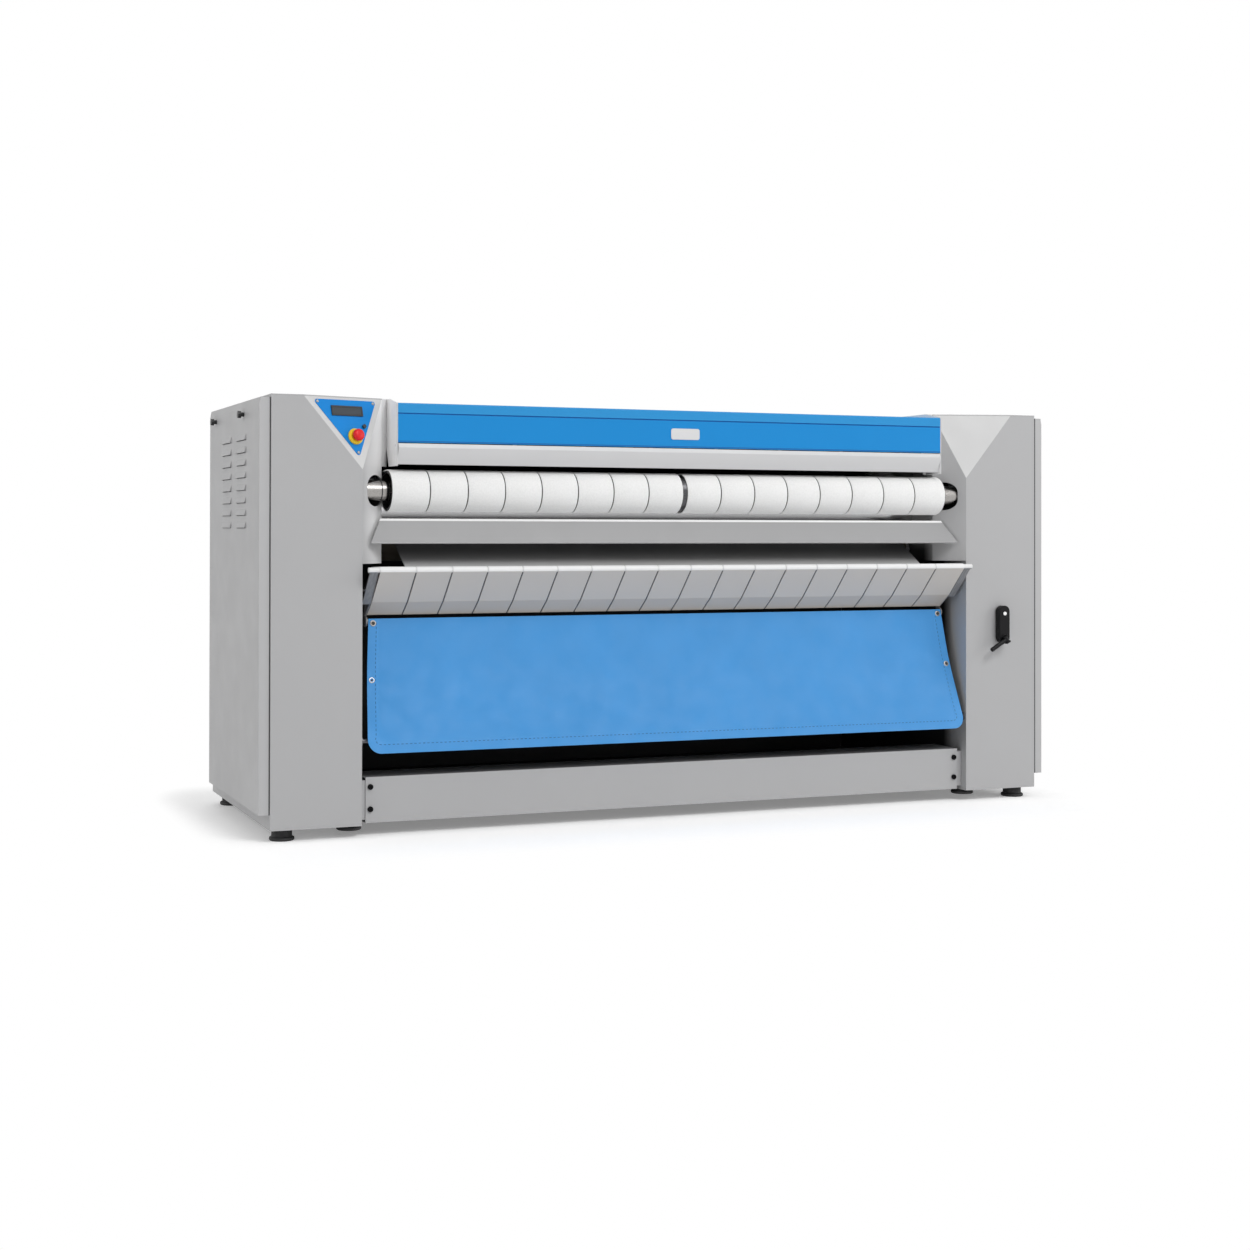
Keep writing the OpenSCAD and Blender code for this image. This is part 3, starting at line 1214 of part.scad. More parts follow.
left_front_panel();
right_front_panel();
top_covers();
inner_walls();
rear_covers();
base_plates();
side_frames();
levelling_feet();
front_rail();
rail_brackets();
rail_bolts();
rear_tie_bars();
rear_panel();
base_pan();
hood();
hood_end_plates();
label_plate();
guide_chute();
panel_screws();
return_table();
return_strips();
table_brackets();
feed_belts();
ironing_belts();
shaft_bearings();
heating_elements();
drive_motor();
drive_chain();
fan_housing();
exhaust_spigot();
electrical_box();
control_plate();
display_bezel();
display_window();
stop_ring();
apron_stops();
crank_bush();
finger_guard();
feed_roller();
feed_return_roller();
heated_cylinder();
cylinder_sprocket();
press_roller();
outfeed_roller();
rear_guide_roller();
tension_roller();
motor_sprocket();
fan_wheel();
stop_button();
start_button();
hand_crank();
crank_grip();
left_side_panel();
right_side_panel();
left_front_knob();
left_rear_knob();
right_front_knob();
right_rear_knob();
apron_frame();
apron_cloth();
apron_studs();
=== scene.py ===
import math

import bmesh
import bpy
from bpy.props import FloatProperty, FloatVectorProperty, IntProperty, PointerProperty
from mathutils import Matrix, Vector, noise


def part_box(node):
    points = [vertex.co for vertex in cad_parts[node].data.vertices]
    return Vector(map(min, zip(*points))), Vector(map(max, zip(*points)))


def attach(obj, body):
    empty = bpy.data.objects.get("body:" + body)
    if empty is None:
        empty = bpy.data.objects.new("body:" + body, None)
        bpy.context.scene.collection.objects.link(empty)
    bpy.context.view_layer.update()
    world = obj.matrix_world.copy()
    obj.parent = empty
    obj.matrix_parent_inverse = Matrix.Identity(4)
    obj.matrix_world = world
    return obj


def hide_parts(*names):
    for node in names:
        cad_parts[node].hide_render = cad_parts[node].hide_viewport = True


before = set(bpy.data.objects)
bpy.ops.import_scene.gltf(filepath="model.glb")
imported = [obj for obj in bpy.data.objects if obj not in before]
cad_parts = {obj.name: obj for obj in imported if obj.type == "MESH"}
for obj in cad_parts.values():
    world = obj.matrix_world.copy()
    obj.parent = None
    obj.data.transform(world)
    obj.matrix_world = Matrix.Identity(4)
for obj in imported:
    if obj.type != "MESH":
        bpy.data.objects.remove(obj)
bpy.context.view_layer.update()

bl_info = {
    "name": "Flatwork Ironer Finishes",
    "version": (1, 0, 0),
    "blender": (4, 5, 0),
    "location": "View3D > Sidebar > Ironer",
    "description": "Finishes, belts, cloth, chain and small fittings for a flatwork ironer",
    "category": "Object",
}

# The machine is drawn in millimetres with its cabinets' front faces at zero depth.
# This is where those faces stand in the frame.
FRONT = -0.359
MILLIMETRES = Matrix.Scale(0.001, 4)


def at(x, y, z):
    """A point of the machine, given in its own millimetres, in the frame's metres."""
    return Vector((x / 1000, y / 1000 + FRONT, z / 1000))


def tone(red, green, blue):
    """A colour picked as screen values from 0 to 255, as the linear values that shaders use."""
    def linear(value):
        value /= 255
        return value / 12.92 if value <= 0.04045 else ((value + 0.055) / 1.055) ** 2.4
    return (linear(red), linear(green), linear(blue))


def shade(colour, amount):
    """The same colour, darker or lighter by a factor."""
    return tuple(min(1.0, part * amount) for part in colour)


# ---- Settings ----

def colour_setting(name, description, default):
    return FloatVectorProperty(name=name, description=description, default=default,
                               subtype="COLOR", size=3, min=0.0, max=1.0)


def length_setting(name, description, default):
    return FloatProperty(name=name, description=description, default=default,
                         min=0.0, unit="LENGTH", subtype="DISTANCE", precision=4)


class IronerColours(bpy.types.PropertyGroup):
    """Colours of the machine's finishes"""
    casing: colour_setting("Casing", "Powder coat of the cabinets", tone(182, 182, 183))
    # The facets' paler tone is partly their own lighter coat and partly a painted highlight for the light from
    # above on their upward tilt
    facet: colour_setting("Facets", "Lighter coat on the triangular corner facets", tone(210, 210, 210))
    hood: colour_setting("Hood", "Enamel of the hood", tone(16, 141, 215))
    guard: colour_setting("Guard", "Coat of the finger guard", tone(216, 216, 217))
    apron: colour_setting("Apron", "Coated cloth of the apron", tone(62, 148, 216))
    belts: colour_setting("Feed belts", "Woven cotton of the feed belts", tone(247, 247, 246))
    felt: colour_setting("Ironing belts", "Heat resistant felt of the ironing belts", tone(104, 98, 88))
    plate: colour_setting("Control plate", "Blue overlay of the control plate", tone(6, 134, 216))
    mushroom: colour_setting("Stop button", "Red of the emergency stop", tone(226, 28, 36))
    ring: colour_setting("Stop ring", "Yellow of the ring round the emergency stop", tone(250, 204, 8))


class IronerSizes(bpy.types.PropertyGroup):
    """Sizes of the cloth, belts and fittings"""
    belt_edge: length_setting("Belt edge", "Radius of the belts' rounded edges", 0.0009)
    cloth: length_setting("Cloth thickness", "Thickness of the apron's coated cloth", 0.0011)
    hem: length_setting("Hem width", "Width of the apron's folded hem", 0.025)
    hem_rise: length_setting("Hem rise", "Extra height of the folded hem", 0.0006)
    stitch: length_setting("Stitch length", "Length of one stitch in the hem", 0.0076)
    stitch_gap: length_setting("Stitch gap", "Gap between two stitches", 0.0036)
    wrinkle: length_setting("Wrinkle depth", "Depth of the apron's soft wrinkles", 0.0022)
    chain_pitch: length_setting("Chain pitch", "Distance between the drive chain's pins", 0.015875)
    floor: length_setting("Floor", "Width of the studio floor", 16.0)
    loop_step: IntProperty(name="Loop step", description="Degrees between rings of a belt on its rollers",
                           default=4, min=1, max=15)


# ---- Finishes ----

class Finish:
    """A procedural material, built from its shader outwards, in the piece's own coordinates."""

    def __init__(self, name, colour=(0.8, 0.8, 0.8), rough=0.5, metal=0.0, **sockets):
        self.material = bpy.data.materials.new(name)
        self.material.use_nodes = True
        self.tree = self.material.node_tree
        self.tree.nodes.clear()
        self.shader = self.node("ShaderNodeBsdfPrincipled", {"Base Color": colour, "Roughness": rough,
                                                             "Metallic": metal})
        for label, value in sockets.items():
            self.put(self.shader.inputs[label.replace("_", " ")], value)
        self.output = self.node("ShaderNodeOutputMaterial", {"Surface": self.shader.outputs["BSDF"]})
        self.coordinates = self.node("ShaderNodeTexCoord")
        self.place = self.coordinates.outputs["Object"]
        self.letters = None
        self.normal = None

    def node(self, kind, sockets=None, **settings):
        """A node with its settings, and with a value or a link for each socket named."""
        made = self.tree.nodes.new(kind)
        for label, value in settings.items():
            setattr(made, label, value)
        for label, value in (sockets or {}).items():
            self.put(made.inputs[label], value)
        return made

    def put(self, socket, value):
        if isinstance(value, bpy.types.NodeSocket):
            self.tree.links.new(value, socket)
        elif hasattr(socket.default_value, "__len__"):
            socket.default_value = (*value, 1.0)[:len(socket.default_value)]
        else:
            socket.default_value = value

    def axis(self, letter):
        """The place along one axis of the piece, in metres."""
        if self.letters is None:
            self.letters = self.node("ShaderNodeSeparateXYZ", {0: self.place})
        return self.letters.outputs[letter]

    def maths(self, operation, first, second=0.0):
        return self.node("ShaderNodeMath", {0: first, 1: second}, operation=operation).outputs[0]

    def spread(self, value, low, high, to_low=0.0, to_high=1.0, smooth=False):
        """Grows from one end to the other while the value goes from low to high."""
        made = self.node("ShaderNodeMapRange", interpolation_type="SMOOTHSTEP" if smooth else "LINEAR",
                         clamp=True)
        for socket, number in zip(made.inputs, (value, low, high, to_low, to_high)):
            self.put(socket, number)
        return made.outputs["Result"]

    def ramp(self, letter, low, high, *ends):
        """Grows from 0 to 1, or between the ends given, from one place to another along an axis."""
        return self.spread(self.axis(letter), low, high, *ends)

    def both(self, first, second):
        return self.maths("MULTIPLY", first, second)

    def either(self, first, second):
        return self.maths("MAXIMUM", first, second)

    def between(self, value, low, high, soft=0.0004):
        up = self.spread(value, low - soft, low + soft)
        return self.both(up, self.spread(value, high - soft, high + soft, 1.0, 0.0))

    def away_from(self, axes, centre, low, high):
        """Grows from 0 to 1 between two distances from an axis that runs along the missing letter."""
        total = None
        for letter, middle in zip(axes, centre):
            step = self.maths("SUBTRACT", self.axis(letter), middle)
            square = self.maths("MULTIPLY", step, step)
            total = square if total is None else self.maths("ADD", total, square)
        return self.spread(self.maths("SQRT", total), low, high)

    def facing(self, direction, low, high):
        """Grows from 0 to 1 as the surface turns to a direction of the piece."""
        made = self.node("ShaderNodeVectorMath", {0: self.coordinates.outputs["Normal"],
                                                  1: Vector(direction).normalized()}, operation="DOT_PRODUCT")
        return self.spread(made.outputs["Value"], low, high)

    def grain(self, scale, detail=2.0, stretch=(1, 1, 1), shift=0.0):
        """Fine noise, drawn out along the axes by the stretch."""
        moved = self.node("ShaderNodeMapping", {"Vector": self.place, "Scale": stretch,
                                                "Location": (shift, shift * 0.7, shift * 1.3)})
        return self.node("ShaderNodeTexNoise", {"Vector": moved.outputs["Vector"], "Scale": scale,
                                                "Detail": detail}).outputs["Fac"]

    def waves(self, scale, direction="X", distortion=0.0):
        """Even bands across a direction of the piece."""
        return self.node("ShaderNodeTexWave", {"Vector": self.place, "Scale": scale, "Distortion": distortion},
                         bands_direction=direction).outputs["Fac"]

    def mix(self, share, first, second, blend="MIX"):
        return self.node("ShaderNodeMix", {0: share, 6: first, 7: second}, data_type="RGBA",
                         blend_type=blend).outputs[2]

    def layers(self, colour, *over):
        """A colour with others laid over it, each given as its share of the surface and its tint."""
        for share, tint in over:
            colour = self.mix(share, colour, tint)
        return colour

    def mottle(self, colour, share, scale, detail=3.0, stretch=(1, 1, 1)):
        """A colour with a faint cloudy change of depth."""
        cloud = self.spread(self.grain(scale, detail, stretch), 0.3, 0.7)
        if isinstance(colour, bpy.types.NodeSocket):
            deep = self.mix(1.0, colour, (1 - share,) * 3, "MULTIPLY")
            return self.mix(cloud, deep, colour)
        return self.mix(cloud, shade(colour, 1 - share), shade(colour, 1 + share))

    def paint(self, colour):
        self.put(self.shader.inputs["Base Color"], colour)
        return self

    def cloud(self, colour, share=0.014, scale=5.0, *more):
        """Paints with a mottled colour, by default as faintly as powder paint."""
        return self.paint(self.mottle(colour, share, scale, *more))

    def roughen(self, low, high, scale, stretch=(1, 1, 1)):
        self.put(self.shader.inputs["Roughness"],
                 self.spread(self.grain(scale, 2.0, stretch, 3.1), 0.3, 0.7, low, high))
        return self

    def soften(self, radius):
        """Rounds the sharp edges in the light by a radius in metres."""
        return self.turn(self.node("ShaderNodeBevel", {"Radius": radius}, samples=4))

    def skin(self, scale, strength, distance, detail=2.0):
        """Raises a fine grain on the surface."""
        return self.emboss(self.grain(scale, detail), strength, distance)

    def emboss(self, height, strength, distance):
        under = {} if self.normal is None else {"Normal": self.normal}
        return self.turn(self.node("ShaderNodeBump", {"Strength": strength, "Distance": distance,
                                                      "Height": height, **under}))

    def turn(self, made):
        """Takes the shader's normal from a node."""
        self.normal = made.outputs["Normal"]
        self.put(self.shader.inputs["Normal"], self.normal)
        return self


def powder_coat(name, colour, edge=0.0012):
    """Baked powder paint: faintly cloudy, with a fine orange peel and softened edges."""
    return Finish(name, colour).cloud(colour).roughen(0.42, 0.52, 14.0).soften(edge).skin(620.0, 0.10, 0.0004)


def bright_steel(name, colour, rough=(0.22, 0.36), along="X"):
    """Turned or ground steel, with fine tool marks round or along the piece."""
    steel = Finish(name, colour, metal=1.0)
    stretch = {"X": (1, 30, 30), "turned": (40, 1, 1)}[along]
    steel.cloud(colour, 0.05, 40.0, 2.0, stretch).roughen(*rough, 60.0, stretch)
    return steel.soften(0.0006).emboss(steel.grain(90.0, 2.0, stretch), 0.08, 0.0002)


def zinc_plate(name, colour):
    """Zinc plated sheet with its faint spangle."""
    zinc = Finish(name, colour, metal=0.9)
    cells = zinc.node("ShaderNodeTexVoronoi", {"Vector": zinc.place, "Scale": 90.0})
    split = zinc.node("ShaderNodeSeparateColor", {0: cells.outputs["Color"]})
    zinc.paint(zinc.mix(split.outputs[0], shade(colour, 0.9), shade(colour, 1.06)))
    return zinc.roughen(0.34, 0.5, 50.0).soften(0.0008)


def moulded(name, colour, rough=0.45, scale=900.0, bump=0.15, edge=0.0008, **sockets):
    """Moulded plastic or rubber with a fine eroded skin."""
    plastic = Finish(name, colour, rough, **sockets)
    plastic.cloud(colour, 0.06, 120.0).roughen(rough - 0.06, rough + 0.08, 80.0)
    return plastic.soften(edge).skin(scale, bump, 0.0003)


def wear(finish, *nodes):
    """Gives a finish to every face of the CAD nodes."""
    for node in nodes:
        for made in bpy.data.objects[node].material_slots:
            made.material = finish.material


# ---- Shapes ----

def linked(name, data):
    """A new object in the scene."""
    made = bpy.data.objects.new(name, data)
    bpy.context.scene.collection.objects.link(made)
    return made


def piece_from(name, mesh, finishes, replaces=(), body="frame", smooth=30):
    """Makes a piece of the scene from a bmesh and hangs it on its body."""
    bmesh.ops.recalc_face_normals(mesh, faces=mesh.faces)
    data = bpy.data.meshes.new(name)
    mesh.to_mesh(data)
    mesh.free()
    for finish in finishes:
        data.materials.append(finish.material)
    made = linked(name, data)
    data.shade_smooth()
    data.set_sharp_from_angle(angle=math.radians(smooth))
    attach(made, body)
    if replaces:
        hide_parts(*replaces)
    return made


def join_rings(mesh, first, second, finish=0):
    """A belt of faces between two rings of corners."""
    for number in range(len(first)):
        after = (number + 1) % len(first)
        face = mesh.faces.new((first[number], first[after], second[after], second[number]))
        face.material_index = finish


def turned(mesh, rings, place, steps=32, finish=0, last_finish=None):
    """A turned shape: rings of (radius, height) up a local z axis; a radius may depend on the angle."""
    rows = []
    for radius, height in rings:
        row = []
        for step in range(steps):
            angle = 2 * math.pi * step / steps
            reach = radius(angle) if callable(radius) else radius
            row.append(mesh.verts.new(place @ Vector((reach * math.cos(angle), reach * math.sin(angle), height))))
        rows.append(row)
    for low, high in zip(rows, rows[1:]):
        join_rings(mesh, low, high, finish)
    for row, tint in ((rows[0], finish), (rows[-1], finish if last_finish is None else last_finish)):
        mesh.faces.new(row).material_index = tint


def cross_recess(arm, half_width):
    """The outline of a cross recess, as a radius at an angle."""
    def reach(angle):
        turn = (math.degrees(angle) + 45) % 90 - 45
        return min(arm, half_width / max(0.001, abs(math.sin(math.radians(turn)))))
    return reach


def hexagon(across_flats):
    """The outline of a hexagon, as a radius at an angle."""
    return lambda angle: across_flats / 2 / math.cos(math.radians((math.degrees(angle) % 60) - 30))


def lying(origin, normal, upward=(0, 0, 1)):
    """A local frame at a point whose z axis is the normal."""
    z = Vector(normal).normalized()
    x = Vector(upward).cross(z).normalized()
    y = z.cross(x)
    return Matrix.Translation(origin) @ Matrix((x, y, z)).transposed().to_4x4()


# The left facet: its outer top corner, its outward normal, and its directions down and inwards.
FACET_CORNER = Vector((-1022, 0, 1084))
FACET_NORMAL = Vector((0.286483, -0.927864, 0.238736))
FACET_DOWN = Vector((0.070430, -0.228109, -0.971085))
FACET_IN = Vector((0.955480, 0.295008, 0.0))


def on_facet(inwards, down, out):
    point = FACET_CORNER + FACET_IN * inwards + FACET_DOWN * down + FACET_NORMAL * out
    return lying(at(*point), FACET_NORMAL)


def belt_path(wheels, clear, thick, step):
    """The inner line of a belt round its wheels, each (depth, height, radius, side), with its outward normals."""
    grown = [(y, z, r + clear + (0 if side > 0 else thick), side) for y, z, r, side in wheels]
    count = len(grown)
    tangents = []
    for index in range(count):
        a, b = grown[index], grown[(index + 1) % count]
        dy, dz = b[0] - a[0], b[1] - a[1]
        lean = max(-1.0, min(1.0, (a[3] * a[2] - b[3] * b[2]) / math.hypot(dy, dz)))
        tangents.append(math.degrees(math.atan2(dz, dy) + math.asin(lean)))
    path = []
    for index, (y, z, radius, side) in enumerate(grown):
        start, end = tangents[index - 1], tangents[index]
        sweep = (((end - start) * side) % 360) * side
        steps = max(1, math.ceil(abs(sweep) / step))
        for number in range(steps + 1):
            angle = math.radians(start + sweep * number / steps)
            normal = (math.sin(angle), -math.cos(angle))
            path.append(((y + side * radius * normal[0], z + side * radius * normal[1]), normal))
    return path


def run_of(points, stretch=1.0):
    """The distance along a line at each of its points, with its second direction stretched."""
    lengths = [0.0]
    for (x0, z0), (x1, z1) in zip(points, points[1:]):
        lengths.append(lengths[-1] + math.hypot(x1 - x0, (z1 - z0) * stretch))
    return lengths


def point_along(points, lengths, distance):
    """The point of a line at a distance along it."""
    for index, (first, second) in enumerate(zip(points, points[1:])):
        if lengths[index + 1] >= distance:
            share = (distance - lengths[index]) / max(1e-9, lengths[index + 1] - lengths[index])
            return tuple(a + share * (b - a) for a, b in zip(first, second))
    return points[-1]


def band(mesh, path, low, high, thick, edge):
    """One belt: a loop of rounded section between two places across the machine."""
    section = [(low + edge, 0), (high - edge, 0), (high - edge * 0.3, edge * 0.3), (high, edge),
               (high, thick - edge), (high - edge * 0.3, thick - edge * 0.3), (high - edge, thick),
               ((low + high) / 2, thick), (low + edge, thick), (low + edge * 0.3, thick - edge * 0.3),
               (low, thick - edge), (low, edge), (low + edge * 0.3, edge * 0.3)]
    rows = [[mesh.verts.new(at(x, point[0] + normal[0] * out, point[1] + normal[1] * out))
             for x, out in section] for point, normal in path]
    for row, following in zip(rows, rows[1:] + rows[:1]):
        join_rings(mesh, row, following)


def belts(sizes, wheels, places):
    """Belts round the same wheels, each between two places across the machine."""
    path = belt_path(wheels, BELT_GAP, BELT_THICK, sizes.loop_step)
    mesh = bmesh.new()
    for low, high in places:
        band(mesh, path, low, high, BELT_THICK, sizes.belt_edge * 1000)
    return mesh


# ---- Operators ----

class IronerOperator:
    """What the ironer's operators share."""
    bl_options = {"REGISTER"}

    @property
    def sizes(self):
        return bpy.context.scene.ironer_sizes

    def colour(self, label):
        return tuple(getattr(bpy.context.scene.ironer_colours, label))


# The camera's yaw, pitch and roll in radians, its place, its shift, and its lens in pixels of the picture
CAMERA_TURN = (0.3681, 0.0074, 0.0020)
CAMERA_PLACE = (-2.0632, -4.6609, 0.7583)
CAMERA_SHIFT = (0.0674, -0.0874)
SENSOR_WIDTH, FOCAL_LENGTH, PICTURE_WIDTH = 36.0, 1811.6, 1250
# The softboxes: name, place, width and height in metres, and watts. All shine at one point of the machine.
LAMPS = (("front_softbox", (2.0, -8.0, 7.6), 5.2, 3.6, 440.0),
         ("right_softbox", (8.5, -4.6, 3.6), 4.4, 3.6, 160.0),
         ("left_softbox", (-5.0, -0.8, 2.6), 2.6, 2.2, 33.0),
         ("rear_softbox", (0.0, 5.0, 3.4), 3.4, 2.0, 66.0))
LAMP_AIM = (0, 0, 0.6)
AMBIENT, PAPER_GLOW = 0.42, 0.22
PAPER = (0.86, 0.86, 0.86)
# Where the paper's shade starts to fade, sideways and in depth from the middle, and over what distance
SHADE_WIDTH, SHADE_DEPTH = (1.10, 0.16), (0.36, 0.34)


def white_shader(nodes, kind, strength=None):
    """A plain white shader node of the stage."""
    made = nodes.new(kind)
    made.inputs["Color"].default_value = (1, 1, 1, 1)
    if strength is not None:
        made.inputs["Strength"].default_value = strength
    return made.outputs[0]


def mixed_shader(nodes, links, *sources, kind="ShaderNodeMixShader"):
    """Joins a share and two shaders, or two shaders alone, in one node."""
    made = nodes.new(kind)
    for source, socket in zip(sources, made.inputs):
        links.new(source, socket)
    return made.outputs[0]


class IRONER_OT_stage(IronerOperator, bpy.types.Operator):
    """Sets up the camera, the studio light and the pale floor"""
    bl_idname = "ironer.stage"
    bl_label = "Stage"

    def execute(self, context):
        scene = context.scene
        scene.view_settings.view_transform = "Standard"
        self.camera(scene)
        self.lamps()
        self.world(scene)
        self.floor()
        return {"FINISHED"}

    def camera(self, scene):
        yaw, pitch, roll = CAMERA_TURN
        forward = Vector((math.sin(yaw) * math.cos(pitch), math.cos(yaw) * math.cos(pitch), math.sin(pitch)))
        level = Vector((math.cos(yaw), -math.sin(yaw), 0))
        upright = level.cross(forward)
        right = level * math.cos(roll) + upright * math.sin(roll)
        up = upright * math.cos(roll) - level * math.sin(roll)
        data = bpy.data.cameras.new("studio_camera")
        data.sensor_width = SENSOR_WIDTH
        data.lens = SENSOR_WIDTH * FOCAL_LENGTH / PICTURE_WIDTH
        data.shift_x, data.shift_y = CAMERA_SHIFT
        data.clip_end = 60.0
        scene.camera = linked("studio_camera", data)
        turn = Matrix((right, up, -forward)).transposed().to_4x4()
        scene.camera.matrix_world = Matrix.Translation(CAMERA_PLACE) @ turn

    def lamps(self):
        for name, place, width, height, power in LAMPS:
            data = bpy.data.lights.new(name, "AREA")
            data.shape = "RECTANGLE"
            data.size, data.size_y = width, height
            data.energy = power
            linked(name, data).matrix_world = lying(Vector(place), Vector(place) - Vector(LAMP_AIM))

    def world(self, scene):
        world = bpy.data.worlds.new("white_studio")
        world.use_nodes = True
        nodes, links = world.node_tree.nodes, world.node_tree.links
        nodes.clear()
        output = nodes.new("ShaderNodeOutputWorld")
        seen = white_shader(nodes, "ShaderNodeBackground", 1.0)
        ambient = white_shader(nodes, "ShaderNodeBackground", AMBIENT)
        both = mixed_shader(nodes, links, seen_directly(nodes, links), ambient, seen)
        links.new(both, output.inputs["Surface"])
        scene.world = world

    def floor(self):
        half = self.sizes.floor / 2
        mesh = bmesh.new()
        bmesh.ops.create_grid(mesh, x_segments=4, y_segments=4, size=half)
        data = bpy.data.meshes.new("studio_floor")
        mesh.to_mesh(data)
        mesh.free()
        paper = Finish("studio_paper", PAPER, 0.9)
        paper.cloud(PAPER, 0.004, 3.0)
        nodes, links = paper.tree.nodes, paper.tree.links
        near = mixed_shader(nodes, links, white_shader(nodes, "ShaderNodeEmission", PAPER_GLOW),
                            white_shader(nodes, "ShaderNodeBsdfDiffuse"), kind="ShaderNodeAddShader")
        far = white_shader(nodes, "ShaderNodeEmission", 1.0)
        # The paper shades only round the machine's footprint, and is plain white beyond
        squares = []
        for letter, (start, reach) in (("X", SHADE_WIDTH), ("Y", SHADE_DEPTH)):
            beyond = paper.maths("SUBTRACT", paper.maths("ABSOLUTE", paper.axis(letter)), start)
            beyond = paper.maths("MAXIMUM", paper.maths("DIVIDE", beyond, reach))
            squares.append(paper.maths("MULTIPLY", beyond, beyond))
        away = paper.spread(paper.maths("ADD", *squares), 0.0, 1.0, smooth=True)
        both = mixed_shader(nodes, links, away, near, far)
        seen = mixed_shader(nodes, links, seen_directly(nodes, links), paper.shader.outputs[0], both)
        links.new(seen, paper.output.inputs["Surface"])
        data.materials.append(paper.material)
        floor = linked("studio_floor", data)


def seen_directly(nodes, links):
    """1 where a ray comes from the camera, or by way of a mirror or glass."""
    path = nodes.new("ShaderNodeLightPath")
    total = path.outputs["Is Camera Ray"]
    for label in ("Is Glossy Ray", "Is Transmission Ray"):
        added = nodes.new("ShaderNodeMath")
        added.operation = "ADD"
        added.use_clamp = True
        links.new(total, added.inputs[0])
        links.new(path.outputs[label], added.inputs[1])
        total = added.outputs[0]
    return total


# The levelling feet on each side: distance from the machine's middle, height above the floor, and depths
FOOT_ROWS = ((892, 16), (1060, 0))
FOOT_DEPTHS = (50, 660)


def foot_rings(lift):
    """The rubber housing of a foot and the hexagon nut on it, as rings in millimetres."""
    nut = hexagon(20.8)
    return [(29.0, lift), (31.0, lift + 2.0), (31.0, lift + 6.5), (29.6, lift + 8.5), (26.0, lift + 9.5),
            (25.4, lift + 10.5), (25.4, 28.5), (24.0, 29.6), (6.0, 29.7), (6.0, 35.1), (nut, 35.1), (nut, 43),
            (6.0, 43), (6.0, 45.8)]


class IRONER_OT_casing(IronerOperator, bpy.types.Operator):
    """Coats the cabinets, the base and the rail"""
    bl_idname = "ironer.casing"
    bl_label = "Casing"

    def execute(self, context):
        casing = self.colour("casing")
        wear(powder_coat("casing_coat", casing), "top_covers", "rear_covers", "base_plates", "rail_brackets")
        # The inner walls are painted dark as shade under the feed belts, in front of the rear panel
        walls = powder_coat("inner_wall_coat", casing)
        painted_shade_below = walls.both(walls.ramp("Z", 0.700, 0.760, 1.0, 0.0), walls.ramp("Y", FRONT + 0.070, FRONT + 0.110))
        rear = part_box("rear_panel")[0][1]
        painted_shade_below = walls.both(painted_shade_below, walls.ramp("Y", rear - 0.003, rear - 0.001, 1.0, 0.0))
        walls.cloud(walls.mix(painted_shade_below, casing, tone(44, 44, 46)))
        wear(walls, "inner_walls")
        # The side panels' front lips are painted paler as highlights, and the panels are painted dark as the
        # shade of the gap where they meet the front panels
        tray = powder_coat("side_panel_coat", casing)
        gap_shade = tray.either(tray.spread(tray.maths("ABSOLUTE", tray.axis("X")), 1.1026, 1.1030, 1.0, 0.0),
                           tray.between(tray.axis("X"), 1.100, 1.1070))
        tray.cloud(tray.layers(casing, (tray.facing((0, -1, 0), 0.8, 0.95), shade(casing, 1.08)),
                               (gap_shade, tone(60, 60, 62))))
        wear(tray, "left_side_panel", "right_side_panel")
        # The left slanted corner lies in the hood's shade, so its coat is paler towards the hood
        faced = powder_coat("front_panel_coat", casing)
        # The facets are painted paler: partly a lighter coat, partly a painted highlight for the light from above
        right_facet = (-FACET_NORMAL.x, FACET_NORMAL.y, FACET_NORMAL.z)
        facets = faced.either(faced.facing(FACET_NORMAL, 0.995, 0.999), faced.facing(right_facet, 0.995, 0.999))
        inward = faced.both(faced.ramp("X", -0.872, -0.812), faced.facing((0.707, -0.707, 0), 0.9, 0.97))
        inward = faced.both(inward, faced.ramp("Z", 0.60, 0.86, 0.75, 1.0))
        faced.cloud(faced.layers(casing, (inward, tone(250, 250, 250)), (facets, self.colour("facet"))))
        wear(faced, "left_front_panel", "right_front_panel")
        # The rail's top and the rear panel's inside are painted darker as shade
        rail = powder_coat("rail_coat", casing)
        rail.cloud(rail.mix(rail.facing((0, 0, 1), 0.7, 0.9), casing, tone(120, 120, 122)))
        wear(rail, "front_rail")
        back = powder_coat("back_panel_coat", casing)
        back.cloud(back.mix(back.facing((0, -1, 0), 0.5, 0.9), casing, tone(34, 34, 36)))
        wear(back, "rear_panel")
        # Painted dark as the shade inside the machine, with a mottle of settled dust
        inside = Finish("inside_lacquer", tone(38, 38, 40), 0.8)
        wear(inside.cloud(tone(38, 38, 40), 0.3, 30.0).skin(300.0, 0.2, 0.0005), "base_pan", "rear_tie_bars")
        wear(zinc_plate("zinc_plate", (0.62, 0.63, 0.65)), "side_frames")
        rubber = moulded("foot_rubber", tone(18, 18, 20), 0.6, 700.0, 0.25, 0.0015)
        mesh = bmesh.new()
        for side in (-1, 1):
            for across, lift in FOOT_ROWS:
                for depth in FOOT_DEPTHS:
                    place = Matrix.Translation(at(side * across, depth, 0)) @ MILLIMETRES
                    turned(mesh, foot_rings(lift), place, 40)
        piece_from("rubber_feet", mesh, [rubber], ["levelling_feet"], smooth=40)
        knob = moulded("knob_plastic", tone(26, 26, 28), 0.4)
        wear(knob, "left_front_knob", "left_rear_knob", "right_front_knob", "right_rear_knob")
        return {"FINISHED"}


